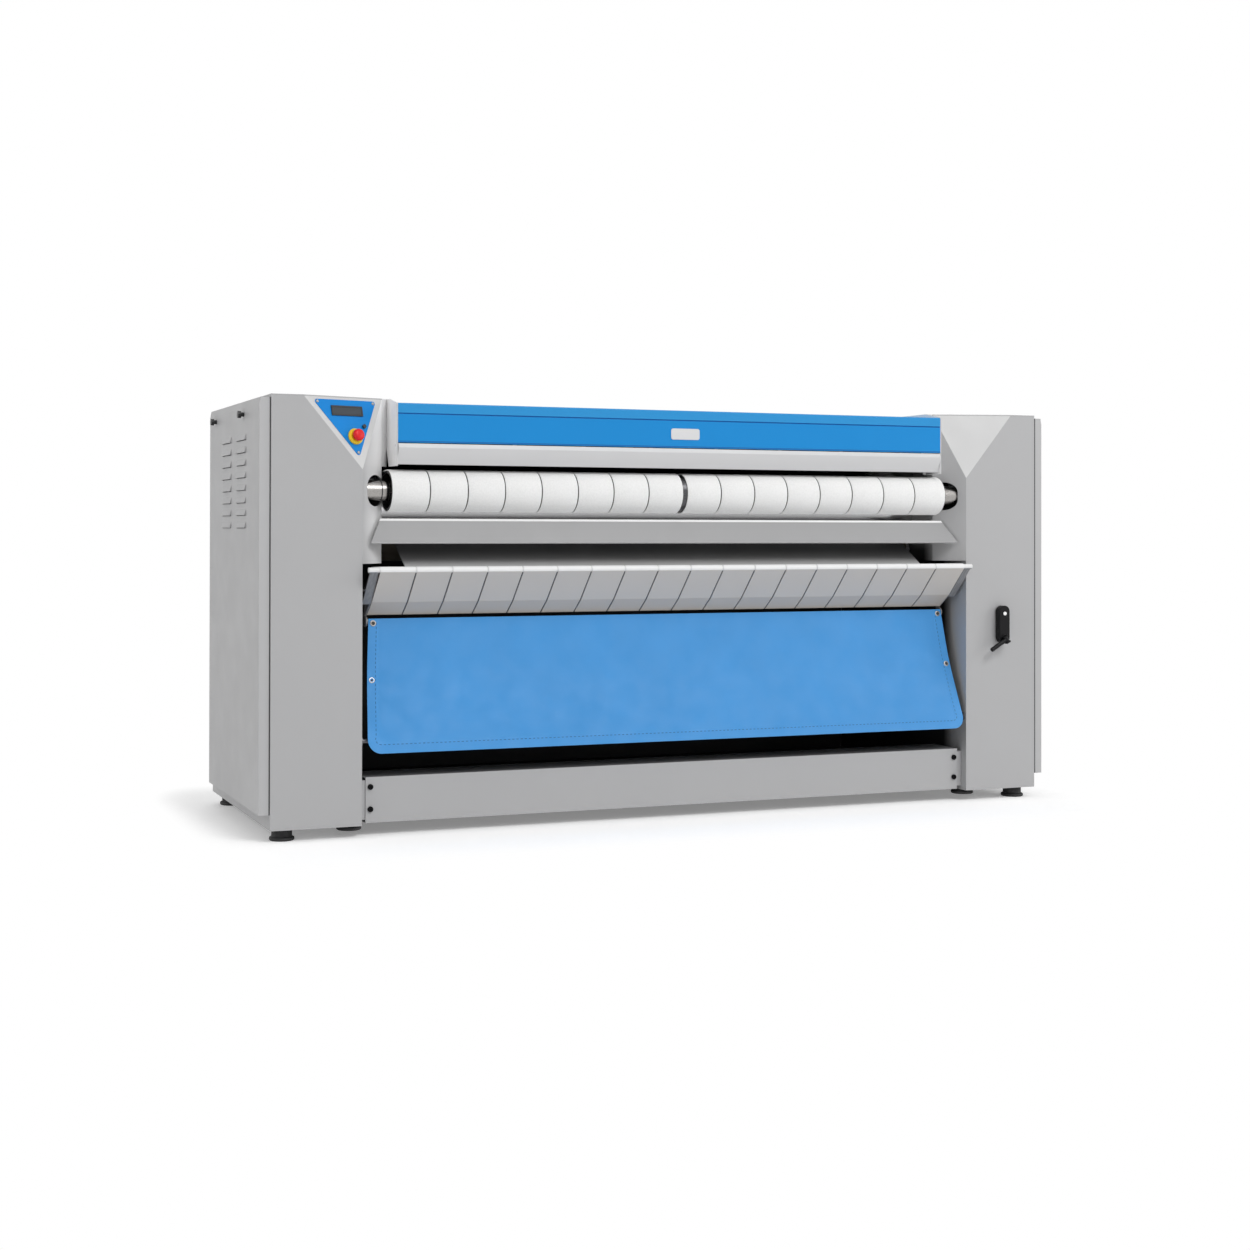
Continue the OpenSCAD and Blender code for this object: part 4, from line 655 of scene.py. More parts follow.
class IRONER_OT_hood(IronerOperator, bpy.types.Operator):
    """Finishes the hood, its label plate and the finger guard"""
    bl_idname = "ironer.hood"
    bl_label = "Hood and Guard"

    def execute(self, context):
        blue = self.colour("hood")
        enamel = Finish("hood_enamel", blue, Specular_IOR_Level=0.25, Coat_Weight=0.08, Coat_Roughness=0.2)
        # A painted highlight along the top strip, and painted shade in the groove under it, along the lower edge
        # and on the inside
        height = enamel.axis("Z")
        inner = enamel.both(enamel.facing((0, 1, -1), 0.5, 0.68), enamel.ramp("Y", 0.29, 0.30, 1.0, 0.0))
        colour = enamel.layers(blue, (enamel.spread(height, 1.0450, 1.0458), tone(44, 150, 216)),
                               (enamel.between(height, 1.0424, 1.0456, 0.0003), tone(10, 96, 172)),
                               (enamel.between(height, 0.9735, 0.9765), tone(24, 104, 176)),
                               (inner, tone(20, 24, 30)))
        enamel.cloud(colour, 0.02, 4.0).roughen(0.34, 0.42, 12.0).soften(0.0015).skin(500.0, 0.06, 0.0003)
        wear(enamel, "hood")
        # The guard is painted paler upwards and near white on top as highlights, and dark behind as shade
        pale = self.colour("guard")
        coat = powder_coat("guard_coat", pale, 0.0015)
        coat.cloud(coat.layers(shade(pale, 0.90), (coat.ramp("Z", 0.918, 0.958), pale),
                               (coat.facing((0, -0.3, 1), 0.75, 0.92), tone(250, 250, 250)),
                               (coat.facing((0, 1, -0.3), 0.5, 0.8), tone(40, 40, 42))), 0.012, 6.0)
        wear(coat, "finger_guard")
        ends = powder_coat("end_plate_coat", self.colour("casing"))
        # The end plates' sides are painted near white to lift the shade of the narrow gap beside the cabinets
        painted_light_sides = ends.either(ends.facing((1, 0, 0), 0.6, 0.8), ends.facing((-1, 0, 0), 0.6, 0.8))
        ends.cloud(ends.mix(painted_light_sides, tone(204, 204, 205), tone(252, 252, 252)), 0.01)
        wear(ends, "hood_end_plates")
        label = Finish("blank_label", tone(224, 224, 225), 0.35)
        wear(label.cloud(tone(224, 224, 225), 0.006, 12.0).soften(0.0008), "label_plate")
        return {"FINISHED"}


class IRONER_OT_table(IronerOperator, bpy.types.Operator):
    """Finishes the guide chute, the return table, its strips and its brackets"""
    bl_idname = "ironer.table"
    bl_label = "Chute and Table"

    def execute(self, context):
        # The chute's upper and lower rims are painted pale as highlights
        chute = powder_coat("chute_coat", tone(160, 160, 161), 0.001)
        low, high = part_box("guide_chute")
        upper = chute.ramp("Z", high[2] - 0.0065, high[2] - 0.0045)
        lower = chute.ramp("Z", low[2] + 0.002, low[2] + 0.004, 1.0, 0.0)
        chute.cloud(chute.layers(tone(160, 160, 161), (upper, tone(250, 250, 250)), (lower, tone(205, 205, 206))))
        wear(chute, "guide_chute")
        # The table's upper side is painted darker inwards as shade
        sheet = powder_coat("table_coat", tone(96, 96, 98), 0.001)
        painted_shade_bed = sheet.mix(sheet.ramp("Y", FRONT - 0.01, FRONT + 0.12, 0.0, 1.0, True), tone(232, 232, 232),
                        tone(70, 70, 71))
        upper = sheet.either(sheet.facing((0, 0, 1), 0.6, 0.9), sheet.ramp("Z", 0.6500, 0.6515))
        sheet.cloud(sheet.mix(upper, tone(92, 92, 94), painted_shade_bed), 0.03, 8.0)
        wear(sheet, "return_table")
        # The strips are painted paler above the bend at their foot, and palest over the table's nose, as the
        # light from above; their warm tint offsets blue light bounced from the apron
        strips = powder_coat("strip_coat", tone(186, 186, 187), 0.0008)
        strips.cloud(strips.layers(tone(206, 197, 186), (strips.ramp("Z", 0.5755, 0.5775), tone(213, 207, 200)),
                                   (strips.ramp("Z", 0.6515, 0.6535), tone(244, 244, 244))), 0.012, 6.0)
        wear(strips, "return_strips")
        # The brackets are worn in streaks, and their tops level with the nose are painted near white as a
        # highlight
        pale = powder_coat("bracket_coat", tone(150, 150, 151))
        worn = pale.spread(pale.grain(60.0, 4.0, (4, 1, 1)), 0.4, 0.65)
        pale.paint(pale.layers(tone(128, 128, 130), (worn, tone(146, 146, 147)),
                               (pale.ramp("Z", 0.6515, 0.6535), tone(236, 236, 236))))
        wear(pale, "table_brackets")
        return {"FINISHED"}


# The rollers and the cylinder: depth, height and radius in millimetres
FEED_ROLLER, FEED_RETURN = (45, 853, 50), (125, 883, 15)
CYLINDER = (310, 860, 162.5)
REAR_GUIDE, TENSION = (565, 999, 25), (565, 710, 25)
# The press and outfeed rollers stand this many degrees up and down from the cylinder's level
PRESS_ANGLE = 125
# A belt's running gap on its rollers and its thickness, and the belts on a side of the roller or in all
BELT_GAP, BELT_THICK, BELTS = 0.4, 2.7, 8
# The feed belts run from the roller's middle to its end, and the ironing belts from end to end
FEED_MIDDLE, FEED_END, FEED_SPACE = 7, 798, 3
IRONING_END, IRONING_SPACE = 788, 12


class IRONER_OT_works(IronerOperator, bpy.types.Operator):
    """Finishes the rollers, the cylinder, the drive, the fan and the electrical box"""
    bl_idname = "ironer.works"
    bl_label = "Rollers and Works"

    def execute(self, context):
        # The feed roller's journals carry two dark rings each, painted as the shade in their grooves, and its
        # rims are dark
        roller = bright_steel("roller_steel", (0.60, 0.60, 0.61), (0.2, 0.34))
        depth, height, _ = FEED_ROLLER
        rim = roller.away_from("YZ", (depth / 1000 + FRONT, height / 1000), 0.0255, 0.0262)
        along = roller.maths("ABSOLUTE", roller.axis("X"))
        rings = roller.either(roller.between(along, 0.7985, 0.8045), roller.between(along, 0.8145, 0.8175))
        colour = roller.layers((0.40, 0.385, 0.37), (rings, (0.05, 0.05, 0.052)), (rim, (0.10, 0.10, 0.105)))
        wear(roller.cloud(colour, 0.06, 40.0), "feed_roller")
        wear(bright_steel("ground_steel", (0.60, 0.60, 0.61), (0.24, 0.38)), "feed_return_roller", "press_roller",
             "outfeed_roller", "rear_guide_roller", "tension_roller", "apron_frame", "crank_bush")
        wear(bright_steel("polished_cylinder", (0.74, 0.74, 0.75), (0.12, 0.2), "turned"), "heated_cylinder")
        wear(bright_steel("dark_steel", (0.16, 0.16, 0.17), (0.35, 0.5)), "cylinder_sprocket", "motor_sprocket",
             "apron_stops")
        cast = Finish("cast_iron", tone(92, 96, 100), 0.6)
        cast.cloud(tone(92, 96, 100), 0.1, 60.0).soften(0.0012).skin(350.0, 0.35, 0.0006, 3.0)
        wear(cast, "shaft_bearings")
        motor = Finish("motor_paint", tone(70, 84, 98), 0.5)
        motor.cloud(tone(70, 84, 98), 0.06, 40.0).soften(0.0012).skin(420.0, 0.2, 0.0005)
        wear(motor, "drive_motor")
        rods = Finish("heater_sheath", (0.30, 0.22, 0.17), metal=0.8)
        rods.cloud((0.30, 0.22, 0.17), 0.25, 25.0).roughen(0.35, 0.6, 30.0)
        wear(rods, "heating_elements")
        wear(zinc_plate("duct_zinc", (0.58, 0.60, 0.62)), "fan_housing", "exhaust_spigot", "fan_wheel")
        wear(powder_coat("box_coat", tone(206, 206, 202)), "electrical_box")
        return {"FINISHED"}


class IRONER_OT_feed_belts(IronerOperator, bpy.types.Operator):
    """Makes the sixteen feed belts as smooth woven loops round the feed roller"""
    bl_idname = "ironer.feed_belts"
    bl_label = "Feed Belts"

    def execute(self, context):
        white = self.colour("belts")
        weave = Finish("woven_belt", white, 0.85, Sheen_Weight=0.15)
        threads = weave.both(weave.waves(300.0, "X"), weave.waves(300.0, "Z", 0.6))
        fluff = weave.grain(260.0, 4.0)
        weave.cloud(weave.mix(weave.spread(fluff, 0.35, 0.65), shade(white, 0.94), white), 0.015, 9.0)
        weave.emboss(weave.maths("ADD", threads, fluff), 0.18, 0.0004)
        pitch = (FEED_END - FEED_MIDDLE + FEED_SPACE) / BELTS
        places = []
        for side in (-1, 1):
            for number in range(BELTS):
                near = FEED_MIDDLE + number * pitch
                places.append(sorted((side * near, side * (near + pitch - FEED_SPACE))))
        mesh = belts(self.sizes, [(*FEED_ROLLER, 1), (*FEED_RETURN, 1)], places)
        piece_from("feed_bands", mesh, [weave], ["feed_belts"])
        return {"FINISHED"}


class IRONER_OT_ironing_belts(IronerOperator, bpy.types.Operator):
    """Makes the eight ironing belts as felt loops round the cylinder and its rollers"""
    bl_idname = "ironer.ironing_belts"
    bl_label = "Ironing Belts"

    def execute(self, context):
        pale = self.colour("felt")
        felt = Finish("needled_felt", pale, 0.95, Sheen_Weight=0.2)
        scorch = felt.spread(felt.grain(3.0, 2.0), 0.4, 0.7, 0.0, 0.35)
        felt.cloud(felt.mix(scorch, pale, tone(84, 74, 60)), 0.05, 60.0).skin(420.0, 0.4, 0.0006, 5.0)
        depth, height, radius = CYLINDER
        small = REAR_GUIDE[2]
        reach = radius + BELT_GAP + BELT_THICK + BELT_GAP + small
        lean = math.radians(PRESS_ANGLE)
        press = (depth + reach * math.cos(lean), height + reach * math.sin(lean), small)
        out = (press[0], height - reach * math.sin(lean), small)
        wheels = [(*REAR_GUIDE, 1), (*press, 1), (*CYLINDER, -1), (*out, 1), (*TENSION, 1)]
        pitch = (2 * IRONING_END + IRONING_SPACE) / BELTS
        lows = [number * pitch - IRONING_END for number in range(BELTS)]
        mesh = belts(self.sizes, wheels, [(low, low + pitch - IRONING_SPACE) for low in lows])
        piece_from("ironing_bands", mesh, [felt], ["ironing_belts"])
        return {"FINISHED"}


# The apron's front line in depth and height, and its half widths at the top and the hem.
APRON_TOP, APRON_KNEE, APRON_HEM = (74.0, 534.0), (48.0, 394.04), (-15.0, 207.0)
APRON_HALF_TOP, APRON_HALF_LOW, APRON_CORNER = 836.0, 861.0, 36.0
KNEE_REACH = 45.0
# The flanks are the cloth's outer strips with the hem, and the slant is its length over its height
APRON_FLANK, APRON_SLANT = 48, 1.04
# The studs sit this far from the sides, below the top and below the knee
STUD_INSET = 12
# Drag lines run from the knee's studs: place across, height and reach
STUD_PULL = (840, 386, 160)


def apron_half(z):
    share = (z - APRON_HEM[1]) / (APRON_TOP[1] - APRON_HEM[1])
    return APRON_HALF_LOW + (APRON_HALF_TOP - APRON_HALF_LOW) * share


def apron_depth(z):
    """Depth of the cloth's front at a height, with a soft bend at the knee."""
    upper = (APRON_TOP[0] - APRON_KNEE[0]) / (APRON_TOP[1] - APRON_KNEE[1])
    lower = (APRON_KNEE[0] - APRON_HEM[0]) / (APRON_KNEE[1] - APRON_HEM[1])
    step = z - APRON_KNEE[1]
    straight = APRON_KNEE[0] + (upper if step > 0 else lower) * step
    if abs(step) >= KNEE_REACH:
        return straight
    return straight - (lower - upper) * (KNEE_REACH - abs(step)) ** 2 / (4 * KNEE_REACH)


def apron_slope(z):
    """The cloth's outward normal at a height, in depth and height."""
    rise = (apron_depth(z + 0.5) - apron_depth(z - 0.5))
    length = math.hypot(1, rise)
    return (-1 / length, rise / length)


def apron_edge(x, z):
    """Distance of a point of the cloth from its nearest side, its hem or its rounded corner."""
    side = (apron_half(z) - abs(x)) * 0.998
    low = z - APRON_HEM[1]
    if side < APRON_CORNER and low < APRON_CORNER:
        return APRON_CORNER - math.hypot(APRON_CORNER - side, APRON_CORNER - low)
    return min(side, low)


def apron_row_half(z):
    """Half width of the cloth at a height, with its rounded lower corners."""
    half, low = apron_half(z), z - APRON_HEM[1]
    if low < APRON_CORNER:
        half -= APRON_CORNER - math.sqrt(max(0.0, APRON_CORNER ** 2 - (APRON_CORNER - low) ** 2))
    return half


class IRONER_OT_apron(IronerOperator, bpy.types.Operator):
    """Makes the apron's coated cloth with its folded hem, its stitches and its snap studs"""
    bl_idname = "ironer.apron"
    bl_label = "Apron"

    def wrinkle(self, x, z):
        """Soft wrinkles: slack folds down from the top, drag lines at the studs and a slow swell."""
        depth = self.sizes.wrinkle * 1000
        share = (APRON_TOP[1] - z) / (APRON_TOP[1] - APRON_HEM[1])
        swell = noise.noise(Vector((x * 0.0024, z * 0.006, 1.7)))
        folds = noise.noise(Vector((x * 0.011 + z * 0.004, z * 0.004, 5.2))) * (0.35 + 0.5 * share)
        fine = noise.noise(Vector((x * 0.03 - z * 0.015, z * 0.012, 9.4))) * 0.22
        drag = 0.0
        across, height, limit = STUD_PULL
        for side in (-1, 1):
            reach = math.hypot((x - side * across) * 0.6, z - height)
            if reach < limit:
                angle = math.atan2(z - height, abs(x - side * across) + 1)
                drag += 0.35 * math.cos(angle * 7) * (1 - reach / limit) ** 2
        held = min(1.0, apron_edge(x, z) / 60.0, (APRON_TOP[1] - z) / 50.0)
        return depth * (swell + folds + fine + drag) * (0.25 + 0.75 * max(0.0, held))

    def lift(self, x, z):
        """How far the cloth's front stands in front of its line."""
        hem = self.sizes.hem * 1000
        fold = min(1.0, max(0.0, (hem + 0.8 - apron_edge(x, z)) / 1.6))
        return self.wrinkle(x, z) + fold * self.sizes.hem_rise * 1000 - 0.5

    def surface(self, x, z, out=0.0):
        normal = apron_slope(z)
        reach = self.lift(x, z) + out
        return at(x, apron_depth(z) + normal[0] * reach, z + normal[1] * reach)

    def execute(self, context):
        self.cloth()
        self.stitches()
        self.studs()
        return {"FINISHED"}

    def cloth(self):
        hem = self.sizes.hem * 1000
        thick = self.sizes.cloth * 1000
        low, top = APRON_HEM[1], APRON_TOP[1]
        heights = [low + APRON_CORNER * (1 - math.cos(math.radians(a))) for a in range(0, 91, 5)]
        heights += [low + hem - 1, low + hem, low + hem + 1]
        heights += [low + APRON_CORNER + step * (top - low - APRON_CORNER) / 56 for step in range(1, 57)]
        heights = sorted(set(round(value, 3) for value in heights))
        insets = [0, 3, 8, 14, 19, hem - 1.2, hem - 0.4, hem + 0.4, hem + 1.2, 32, 40]
        middle = [number / 130 for number in range(-129, 130)]
        mesh = bmesh.new()
        rows = []
        for z in heights:
            half, full = apron_row_half(z), apron_half(z)
            inner = full - APRON_FLANK
            # Towards the rounded corners the columns of the flanks draw together
            if z - low < APRON_CORNER:
                flank = [inner + (half - inner) * (APRON_FLANK - inset) / APRON_FLANK for inset in insets]
            else:
                flank = [full - inset for inset in insets]
            places = [-x for x in flank] + [share * inner for share in middle] + flank[::-1]
            rows.append([(x, z) for x in places])
        front = [[mesh.verts.new(self.surface(x, z)) for x, z in row] for row in rows]
        back = [[mesh.verts.new(self.surface(x, z, -thick)) for x, z in row] for row in rows]
        for index in range(len(rows) - 1):
            for number in range(len(rows[0]) - 1):
                for grid in (front, back):
                    corners = (grid[index][number], grid[index][number + 1],
                               grid[index + 1][number + 1], grid[index + 1][number])
                    mesh.faces.new(corners if grid is front else corners[::-1])
        count, width = len(rows), len(rows[0])
        rim = [(0, n) for n in range(width)] + [(i, width - 1) for i in range(1, count)]
        rim += [(count - 1, n) for n in range(width - 2, -1, -1)] + [(i, 0) for i in range(count - 2, 0, -1)]
        for (i, n), (j, m) in zip(rim, rim[1:] + rim[:1]):
            mesh.faces.new((front[j][m], front[i][n], back[i][n], back[j][m]))
        blue = self.colour("apron")
        cloth = Finish("coated_cloth", blue, 0.55, Sheen_Weight=0.12)
        weave = cloth.maths("ADD", cloth.waves(420.0, "X", 0.4), cloth.waves(420.0, "Z", 0.4))
        cloudy = cloth.mottle(blue, 0.03, 7.0, 4.0)
        scuffs = cloth.spread(cloth.grain(26.0, 5.0, (1, 1, 3), 4.0), 0.58, 0.75, 0.0, 0.07)
        cloth.paint(cloth.mix(scuffs, cloudy, shade(blue, 1.25))).roughen(0.5, 0.68, 20.0)
        cloth.emboss(weave, 0.12, 0.0003).skin(45.0, 0.12, 0.0012, 3.0)
        self.sheet = piece_from("apron_sheet", mesh, [cloth], ["apron_cloth"], "apron_flap", 60)

    def stitches(self):
        inset = self.sizes.hem * 1000 - 4
        corner = APRON_CORNER - inset
        # Down the left side, round its corner, along the hem, and the same way up the right side
        line = []
        top = APRON_TOP[1] - 8
        centre_x, centre_z = apron_half(APRON_HEM[1]) - APRON_CORNER, APRON_HEM[1] + APRON_CORNER
        steps, count = 80, 200
        for number in range(steps + 1):
            z = top + (centre_z - top) * number / steps
            line.append((-(apron_half(z) - inset), z))
        for angle in range(5, 90, 5):
            turn = math.radians(angle)
            line.append((-(centre_x + corner * math.cos(turn)), centre_z - corner * math.sin(turn)))
        left = line[::-1]
        for number in range(count + 1):
            line.append((-centre_x + 2 * centre_x * number / count, APRON_HEM[1] + inset))
        line += [(-x, z) for x, z in left]
        lengths = run_of(line, APRON_SLANT)
        stitch, gap = self.sizes.stitch * 1000, self.sizes.stitch_gap * 1000
        mesh = bmesh.new()
        distance = 1.0
        while distance + stitch < lengths[-1]:
            start, end = (point_along(line, lengths, reach) for reach in (distance, distance + stitch))
            run = Vector((end[0] - start[0], end[1] - start[1])).normalized()
            across = Vector((-run.y, run.x)) * 0.8
            rings = []
            for share, out in ((0.18, 0.30), (0.5, 0.42), (0.82, 0.30)):
                x = start[0] + (end[0] - start[0]) * share
                z = start[1] + (end[1] - start[1]) * share
                rings.append([mesh.verts.new(self.surface(x + side * across.x, z + side * across.y, rise))
                              for side, rise in ((1, 0.02), (0, out), (-1, 0.02), (0, -0.15))])
            tips = [mesh.verts.new(self.surface(*start, -0.1)), mesh.verts.new(self.surface(*end, -0.1))]
            for first, second in zip(rings, rings[1:]):
                join_rings(mesh, first, second)
            for number in range(4):
                after = (number + 1) % 4
                mesh.faces.new((rings[0][after], rings[0][number], tips[0]))
                mesh.faces.new((rings[-1][number], rings[-1][after], tips[1]))
            distance += stitch + gap
        blue = shade(self.colour("apron"), 0.42)
        thread = Finish("hem_thread", blue, 0.7)
        thread.cloud(blue, 0.15, 300.0).emboss(thread.waves(900.0, "DIAGONAL"), 0.3, 0.0002)
        self.thread = piece_from("hem_stitches", mesh, [thread], body="apron_flap")

    def studs(self):
        mesh = bmesh.new()
        for start, end in ((APRON_KNEE, APRON_HEM), (APRON_TOP, APRON_KNEE)):
            run = Vector((end[0] - start[0], end[1] - start[1])).normalized()
            y, z = start[0] + run.x * STUD_INSET, start[1] + run.y * STUD_INSET
            normal = Vector((0, run.y, -run.x))
            for side in (-1, 1):
                x = side * (apron_half(z) - STUD_INSET)
                place = lying(at(x, y, z), normal) @ MILLIMETRES
                turned(mesh, [(7.8, -0.2), (8.0, 0.4), (7.8, 1.0), (7.1, 1.7), (6.1, 2.0), (5.0, 1.95),
                              (4.9, 1.5), (4.6, 0.8)], place, 36, 0, 1)
                turned(mesh, [(4.2, 0.6), (3.9, 1.0), (2.6, 1.4), (0.8, 1.5)], place, 28, 1)
        cap = bright_steel("stud_nickel", (0.46, 0.45, 0.44), (0.3, 0.4), "turned")
        socket = moulded("stud_socket", tone(48, 44, 40), 0.5)
        self.snaps = piece_from("snap_studs", mesh, [cap, socket], ["apron_studs"],
                                "apron_flap", 40)


# The emergency stop and the screws of the left facet, as distances inwards and down from its corner
STOP_PLACE, FACET_SCREWS = (132.5, 102.6), ((37, 15.5), (197, 15.5), (137, 143))
# The chute's screws and the rail's bolts on each side: distance from the middle, depth and height
CHUTE_SCREW = (792, 52, 784)
RAIL_BOLTS = [(845, 21.5, height) for height in (67, 146 - 34 / math.sqrt(2))]


class IRONER_OT_controls(IronerOperator, bpy.types.Operator):
    """Finishes the control plate and makes the emergency stop's head"""
    bl_idname = "ironer.controls"
    bl_label = "Controls"

    def execute(self, context):
        blue = self.colour("plate")
        overlay = Finish("plate_overlay", blue, Specular_IOR_Level=0.2)
        overlay.cloud(blue, 0.02, 20.0).roughen(0.3, 0.38, 60.0).soften(0.0006).skin(1500.0, 0.08, 0.0002)
        wear(overlay, "control_plate")
        wear(moulded("bezel_plastic", tone(20, 20, 22), 0.4), "display_bezel")
        window = Finish("display_glass", tone(26, 36, 44), 0.3, Coat_Weight=0.1, Coat_Roughness=0.1)
        rows = window.waves(220.0, "Z")
        window.paint(window.mix(window.spread(rows, 0.0, 1.0, 0.0, 0.25), tone(26, 36, 44), tone(36, 48, 58)))
        wear(window, "display_window")
        ring = moulded("stop_ring_yellow", self.colour("ring"), 0.35, 900.0, 0.05)
        wear(ring, "stop_ring")
        wear(moulded("start_black", tone(24, 24, 26), 0.35), "start_button")
        red = self.colour("mushroom")
        gloss = moulded("mushroom_red", red, 0.3, 900.0, 0.04, Specular_IOR_Level=0.3)
        skirt = moulded("mushroom_skirt", shade(red, 0.5), 0.5)
        mesh = bmesh.new()
        place = on_facet(*STOP_PLACE, 0) @ MILLIMETRES
        turned(mesh, [(10.8, -12), (10.8, 14.66)], place, 40, 1)
        turned(mesh, [(10.6, 14.64), (14.2, 14.72), (14.9, 15.6), (15.0, 18.5), (14.7, 21.2), (13.6, 23.6),
                      (11.6, 25.3), (8.6, 26.2), (4.5, 26.5), (1.0, 26.6)], place, 40, 0)
        piece_from("stop_mushroom", mesh, [gloss, skirt], ["stop_button"], "stop_button", 50)
        return {"FINISHED"}


class IRONER_OT_fasteners(IronerOperator, bpy.types.Operator):
    """Makes the rail's socket head bolts and the cross recessed screws"""
    bl_idname = "ironer.fasteners"
    bl_label = "Bolts and Screws"

    def execute(self, context):
        black = bright_steel("black_bolt", (0.012, 0.012, 0.013), (0.5, 0.6), "turned")
        mesh = bmesh.new()
        for side in (-1, 1):
            for across, depth, height in RAIL_BOLTS:
                place = lying(at(side * across, depth, height), (0, -1, 0)) @ MILLIMETRES
                turned(mesh, [(4, -13), (4, 0.0)], place, 24)
                turned(mesh, [(7, 0), (7, 4.2), (6.2, 5.0), (hexagon(6.0), 5.0), (hexagon(6.0), 2.2)], place, 24)
        piece_from("rail_socket_bolts", mesh, [black], ["rail_bolts"])
        steel = bright_steel("screw_steel", (0.36, 0.35, 0.34), (0.3, 0.42), "turned")
        mesh = bmesh.new()
        places = [on_facet(*place, 1.5) for place in FACET_SCREWS]
        across, depth, height = CHUTE_SCREW
        places += [lying(at(side * across, depth, height), (0, 0, 1), (0, 1, 0)) for side in (-1, 1)]
        for place in places:
            turned(mesh, [(4.0, 0), (3.9, 0.7), (3.3, 1.5), (2.6, 1.9), (cross_recess(2.2, 0.45), 2.0),
                          (cross_recess(1.6, 0.3), 1.1)], place @ MILLIMETRES, 32)
        piece_from("cross_screws", mesh, [steel], ["panel_screws"])
        return {"FINISHED"}


# The screw in the crank's hub, across and up in metres
CRANK_SCREW = (0.983, 0.524)


class IRONER_OT_crank(IronerOperator, bpy.types.Operator):
    """Finishes the hand crank and its folding grip"""
    bl_idname = "ironer.crank"
    bl_label = "Hand Crank"

    def execute(self, context):
        black = moulded("crank_black", tone(16, 16, 18), 0.42, 500.0, 0.12, 0.003, Specular_IOR_Level=0.2)
        # The head of the screw in the crank's hub shows bright
        beside = black.away_from("XZ", CRANK_SCREW, 0.0050, 0.0052)
        front = black.ramp("Y", FRONT - 0.0253, FRONT - 0.0251, 1.0, 0.0)
        shown = black.both(front, black.maths("SUBTRACT", 1.0, beside))
        black.paint(black.mix(shown, tone(14, 14, 16), tone(240, 240, 240)))
        black.put(black.shader.inputs["Metallic"], shown)
        wear(black, "hand_crank")
        wear(moulded("grip_black", tone(14, 14, 16), 0.42, 500.0, 0.15, 0.0012, Specular_IOR_Level=0.2),
             "crank_grip")
        return {"FINISHED"}


# The sprockets' teeth, and the motor's depth and height
CYLINDER_TEETH, MOTOR_TEETH, MOTOR_PLACE = 38, 14, (500, 95)
# From the teeth's pitch circle to the chain's middle: half a tooth, the running gap and half the chain
CHAIN_RISE = 2.5 + 0.4 + 3.5


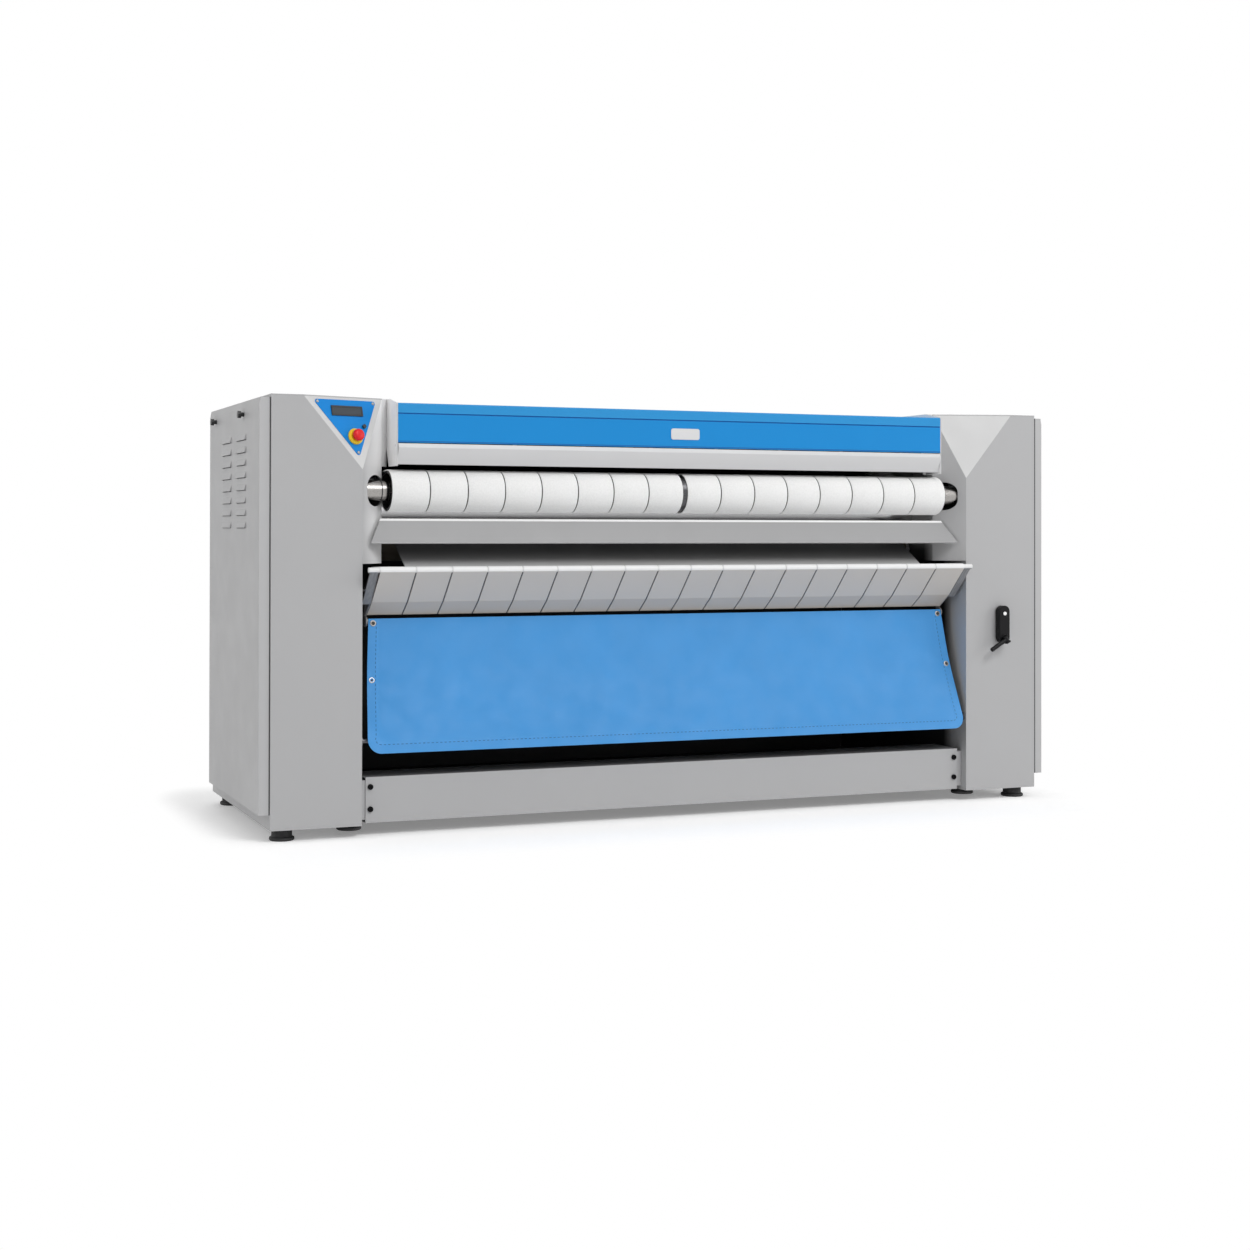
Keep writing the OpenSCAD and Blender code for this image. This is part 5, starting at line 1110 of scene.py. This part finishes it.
class IRONER_OT_chain(IronerOperator, bpy.types.Operator):
    """Makes the drive chain link by link round its two sprockets"""
    bl_idname = "ironer.chain"
    bl_label = "Drive Chain"

    def execute(self, context):
        low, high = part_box("drive_chain")
        middle = (low[0] + high[0]) / 2 * 1000
        pitch = self.sizes.chain_pitch * 1000
        wheels = []
        for place, teeth in ((MOTOR_PLACE, MOTOR_TEETH), (CYLINDER[:2], CYLINDER_TEETH)):
            wheels.append((*place, pitch / 2 / math.sin(math.pi / teeth) + CHAIN_RISE, 1))
        path = belt_path(wheels, 0.0, 0.0, 2)
        points = [point for point, _ in path] + [path[0][0]]
        lengths = run_of(points)
        count = 2 * round(lengths[-1] / pitch / 2)
        step = lengths[-1] / count
        pins = [Vector(point_along(points, lengths, number * step)) for number in range(count)]
        mesh = bmesh.new()
        for number, pin in enumerate(pins):
            following = pins[(number + 1) % count]
            run = (following - pin).normalized()
            side = Vector((-run.y, run.x))
            outer = number % 2
            for half in (-1, 1):
                near = middle + half * (6.4 if outer else 4.7)
                self.plate(mesh, pin, following, run, side, near, near + half * 1.4)
            place = Matrix.Translation(at(middle, pin.x, pin.y)) @ Matrix.Rotation(math.pi / 2, 4, "Y")
            turned(mesh, [(3.2, -4.6), (3.2, 4.6)], place @ MILLIMETRES, 12)
            turned(mesh, [(1.8, -8.6), (1.8, 8.6)], place @ MILLIMETRES, 10)
        steel = bright_steel("chain_steel", (0.20, 0.19, 0.18), (0.3, 0.5), "X")
        piece_from("roller_chain", mesh, [steel], ["drive_chain"])
        return {"FINISHED"}

    def plate(self, mesh, first, second, run, side, near, far):
        """A waisted link plate round two pins."""
        outline = []
        for centre, turn in ((first, 90), (second, -90)):
            for number in range(7):
                angle = math.radians(turn + number * 30)
                outline.append(centre + (run * math.cos(angle) + side * math.sin(angle)) * 6.0)
            outline.append((first + second) / 2 + side * (4.2 if turn == -90 else -4.2))
        rows = [[mesh.verts.new(at(x, point.x, point.y)) for point in outline] for x in (near, far)]
        join_rings(mesh, *rows)
        mesh.faces.new(rows[0])
        mesh.faces.new(rows[1])


class IRONER_PT_panel(bpy.types.Panel):
    """Lists the ironer's pieces and settings"""
    bl_label = "Flatwork Ironer"
    bl_idname = "IRONER_PT_panel"
    bl_space_type = "VIEW_3D"
    bl_region_type = "UI"
    bl_category = "Ironer"

    def draw(self, context):
        column = self.layout.column(align=True)
        for operator in OPERATORS:
            column.operator(operator.bl_idname)
        for group in (context.scene.ironer_colours, context.scene.ironer_sizes):
            box = self.layout.box()
            for label in group.bl_rna.properties.keys():
                if label not in ("rna_type", "name"):
                    box.prop(group, label)


OPERATORS = (IRONER_OT_stage, IRONER_OT_casing, IRONER_OT_hood, IRONER_OT_table, IRONER_OT_works,
             IRONER_OT_feed_belts, IRONER_OT_ironing_belts, IRONER_OT_apron, IRONER_OT_controls,
             IRONER_OT_fasteners, IRONER_OT_crank, IRONER_OT_chain)
CLASSES = (IronerColours, IronerSizes, *OPERATORS, IRONER_PT_panel)


def register():
    for made in CLASSES:
        bpy.utils.register_class(made)
    bpy.types.Scene.ironer_colours = PointerProperty(type=IronerColours)
    bpy.types.Scene.ironer_sizes = PointerProperty(type=IronerSizes)


def unregister():
    del bpy.types.Scene.ironer_sizes
    del bpy.types.Scene.ironer_colours
    for made in reversed(CLASSES):
        bpy.utils.unregister_class(made)


def main():
    register()
    for operator in OPERATORS:
        group, name = operator.bl_idname.split(".")
        getattr(getattr(bpy.ops, group), name)()


if __name__ == "__main__":
    main()
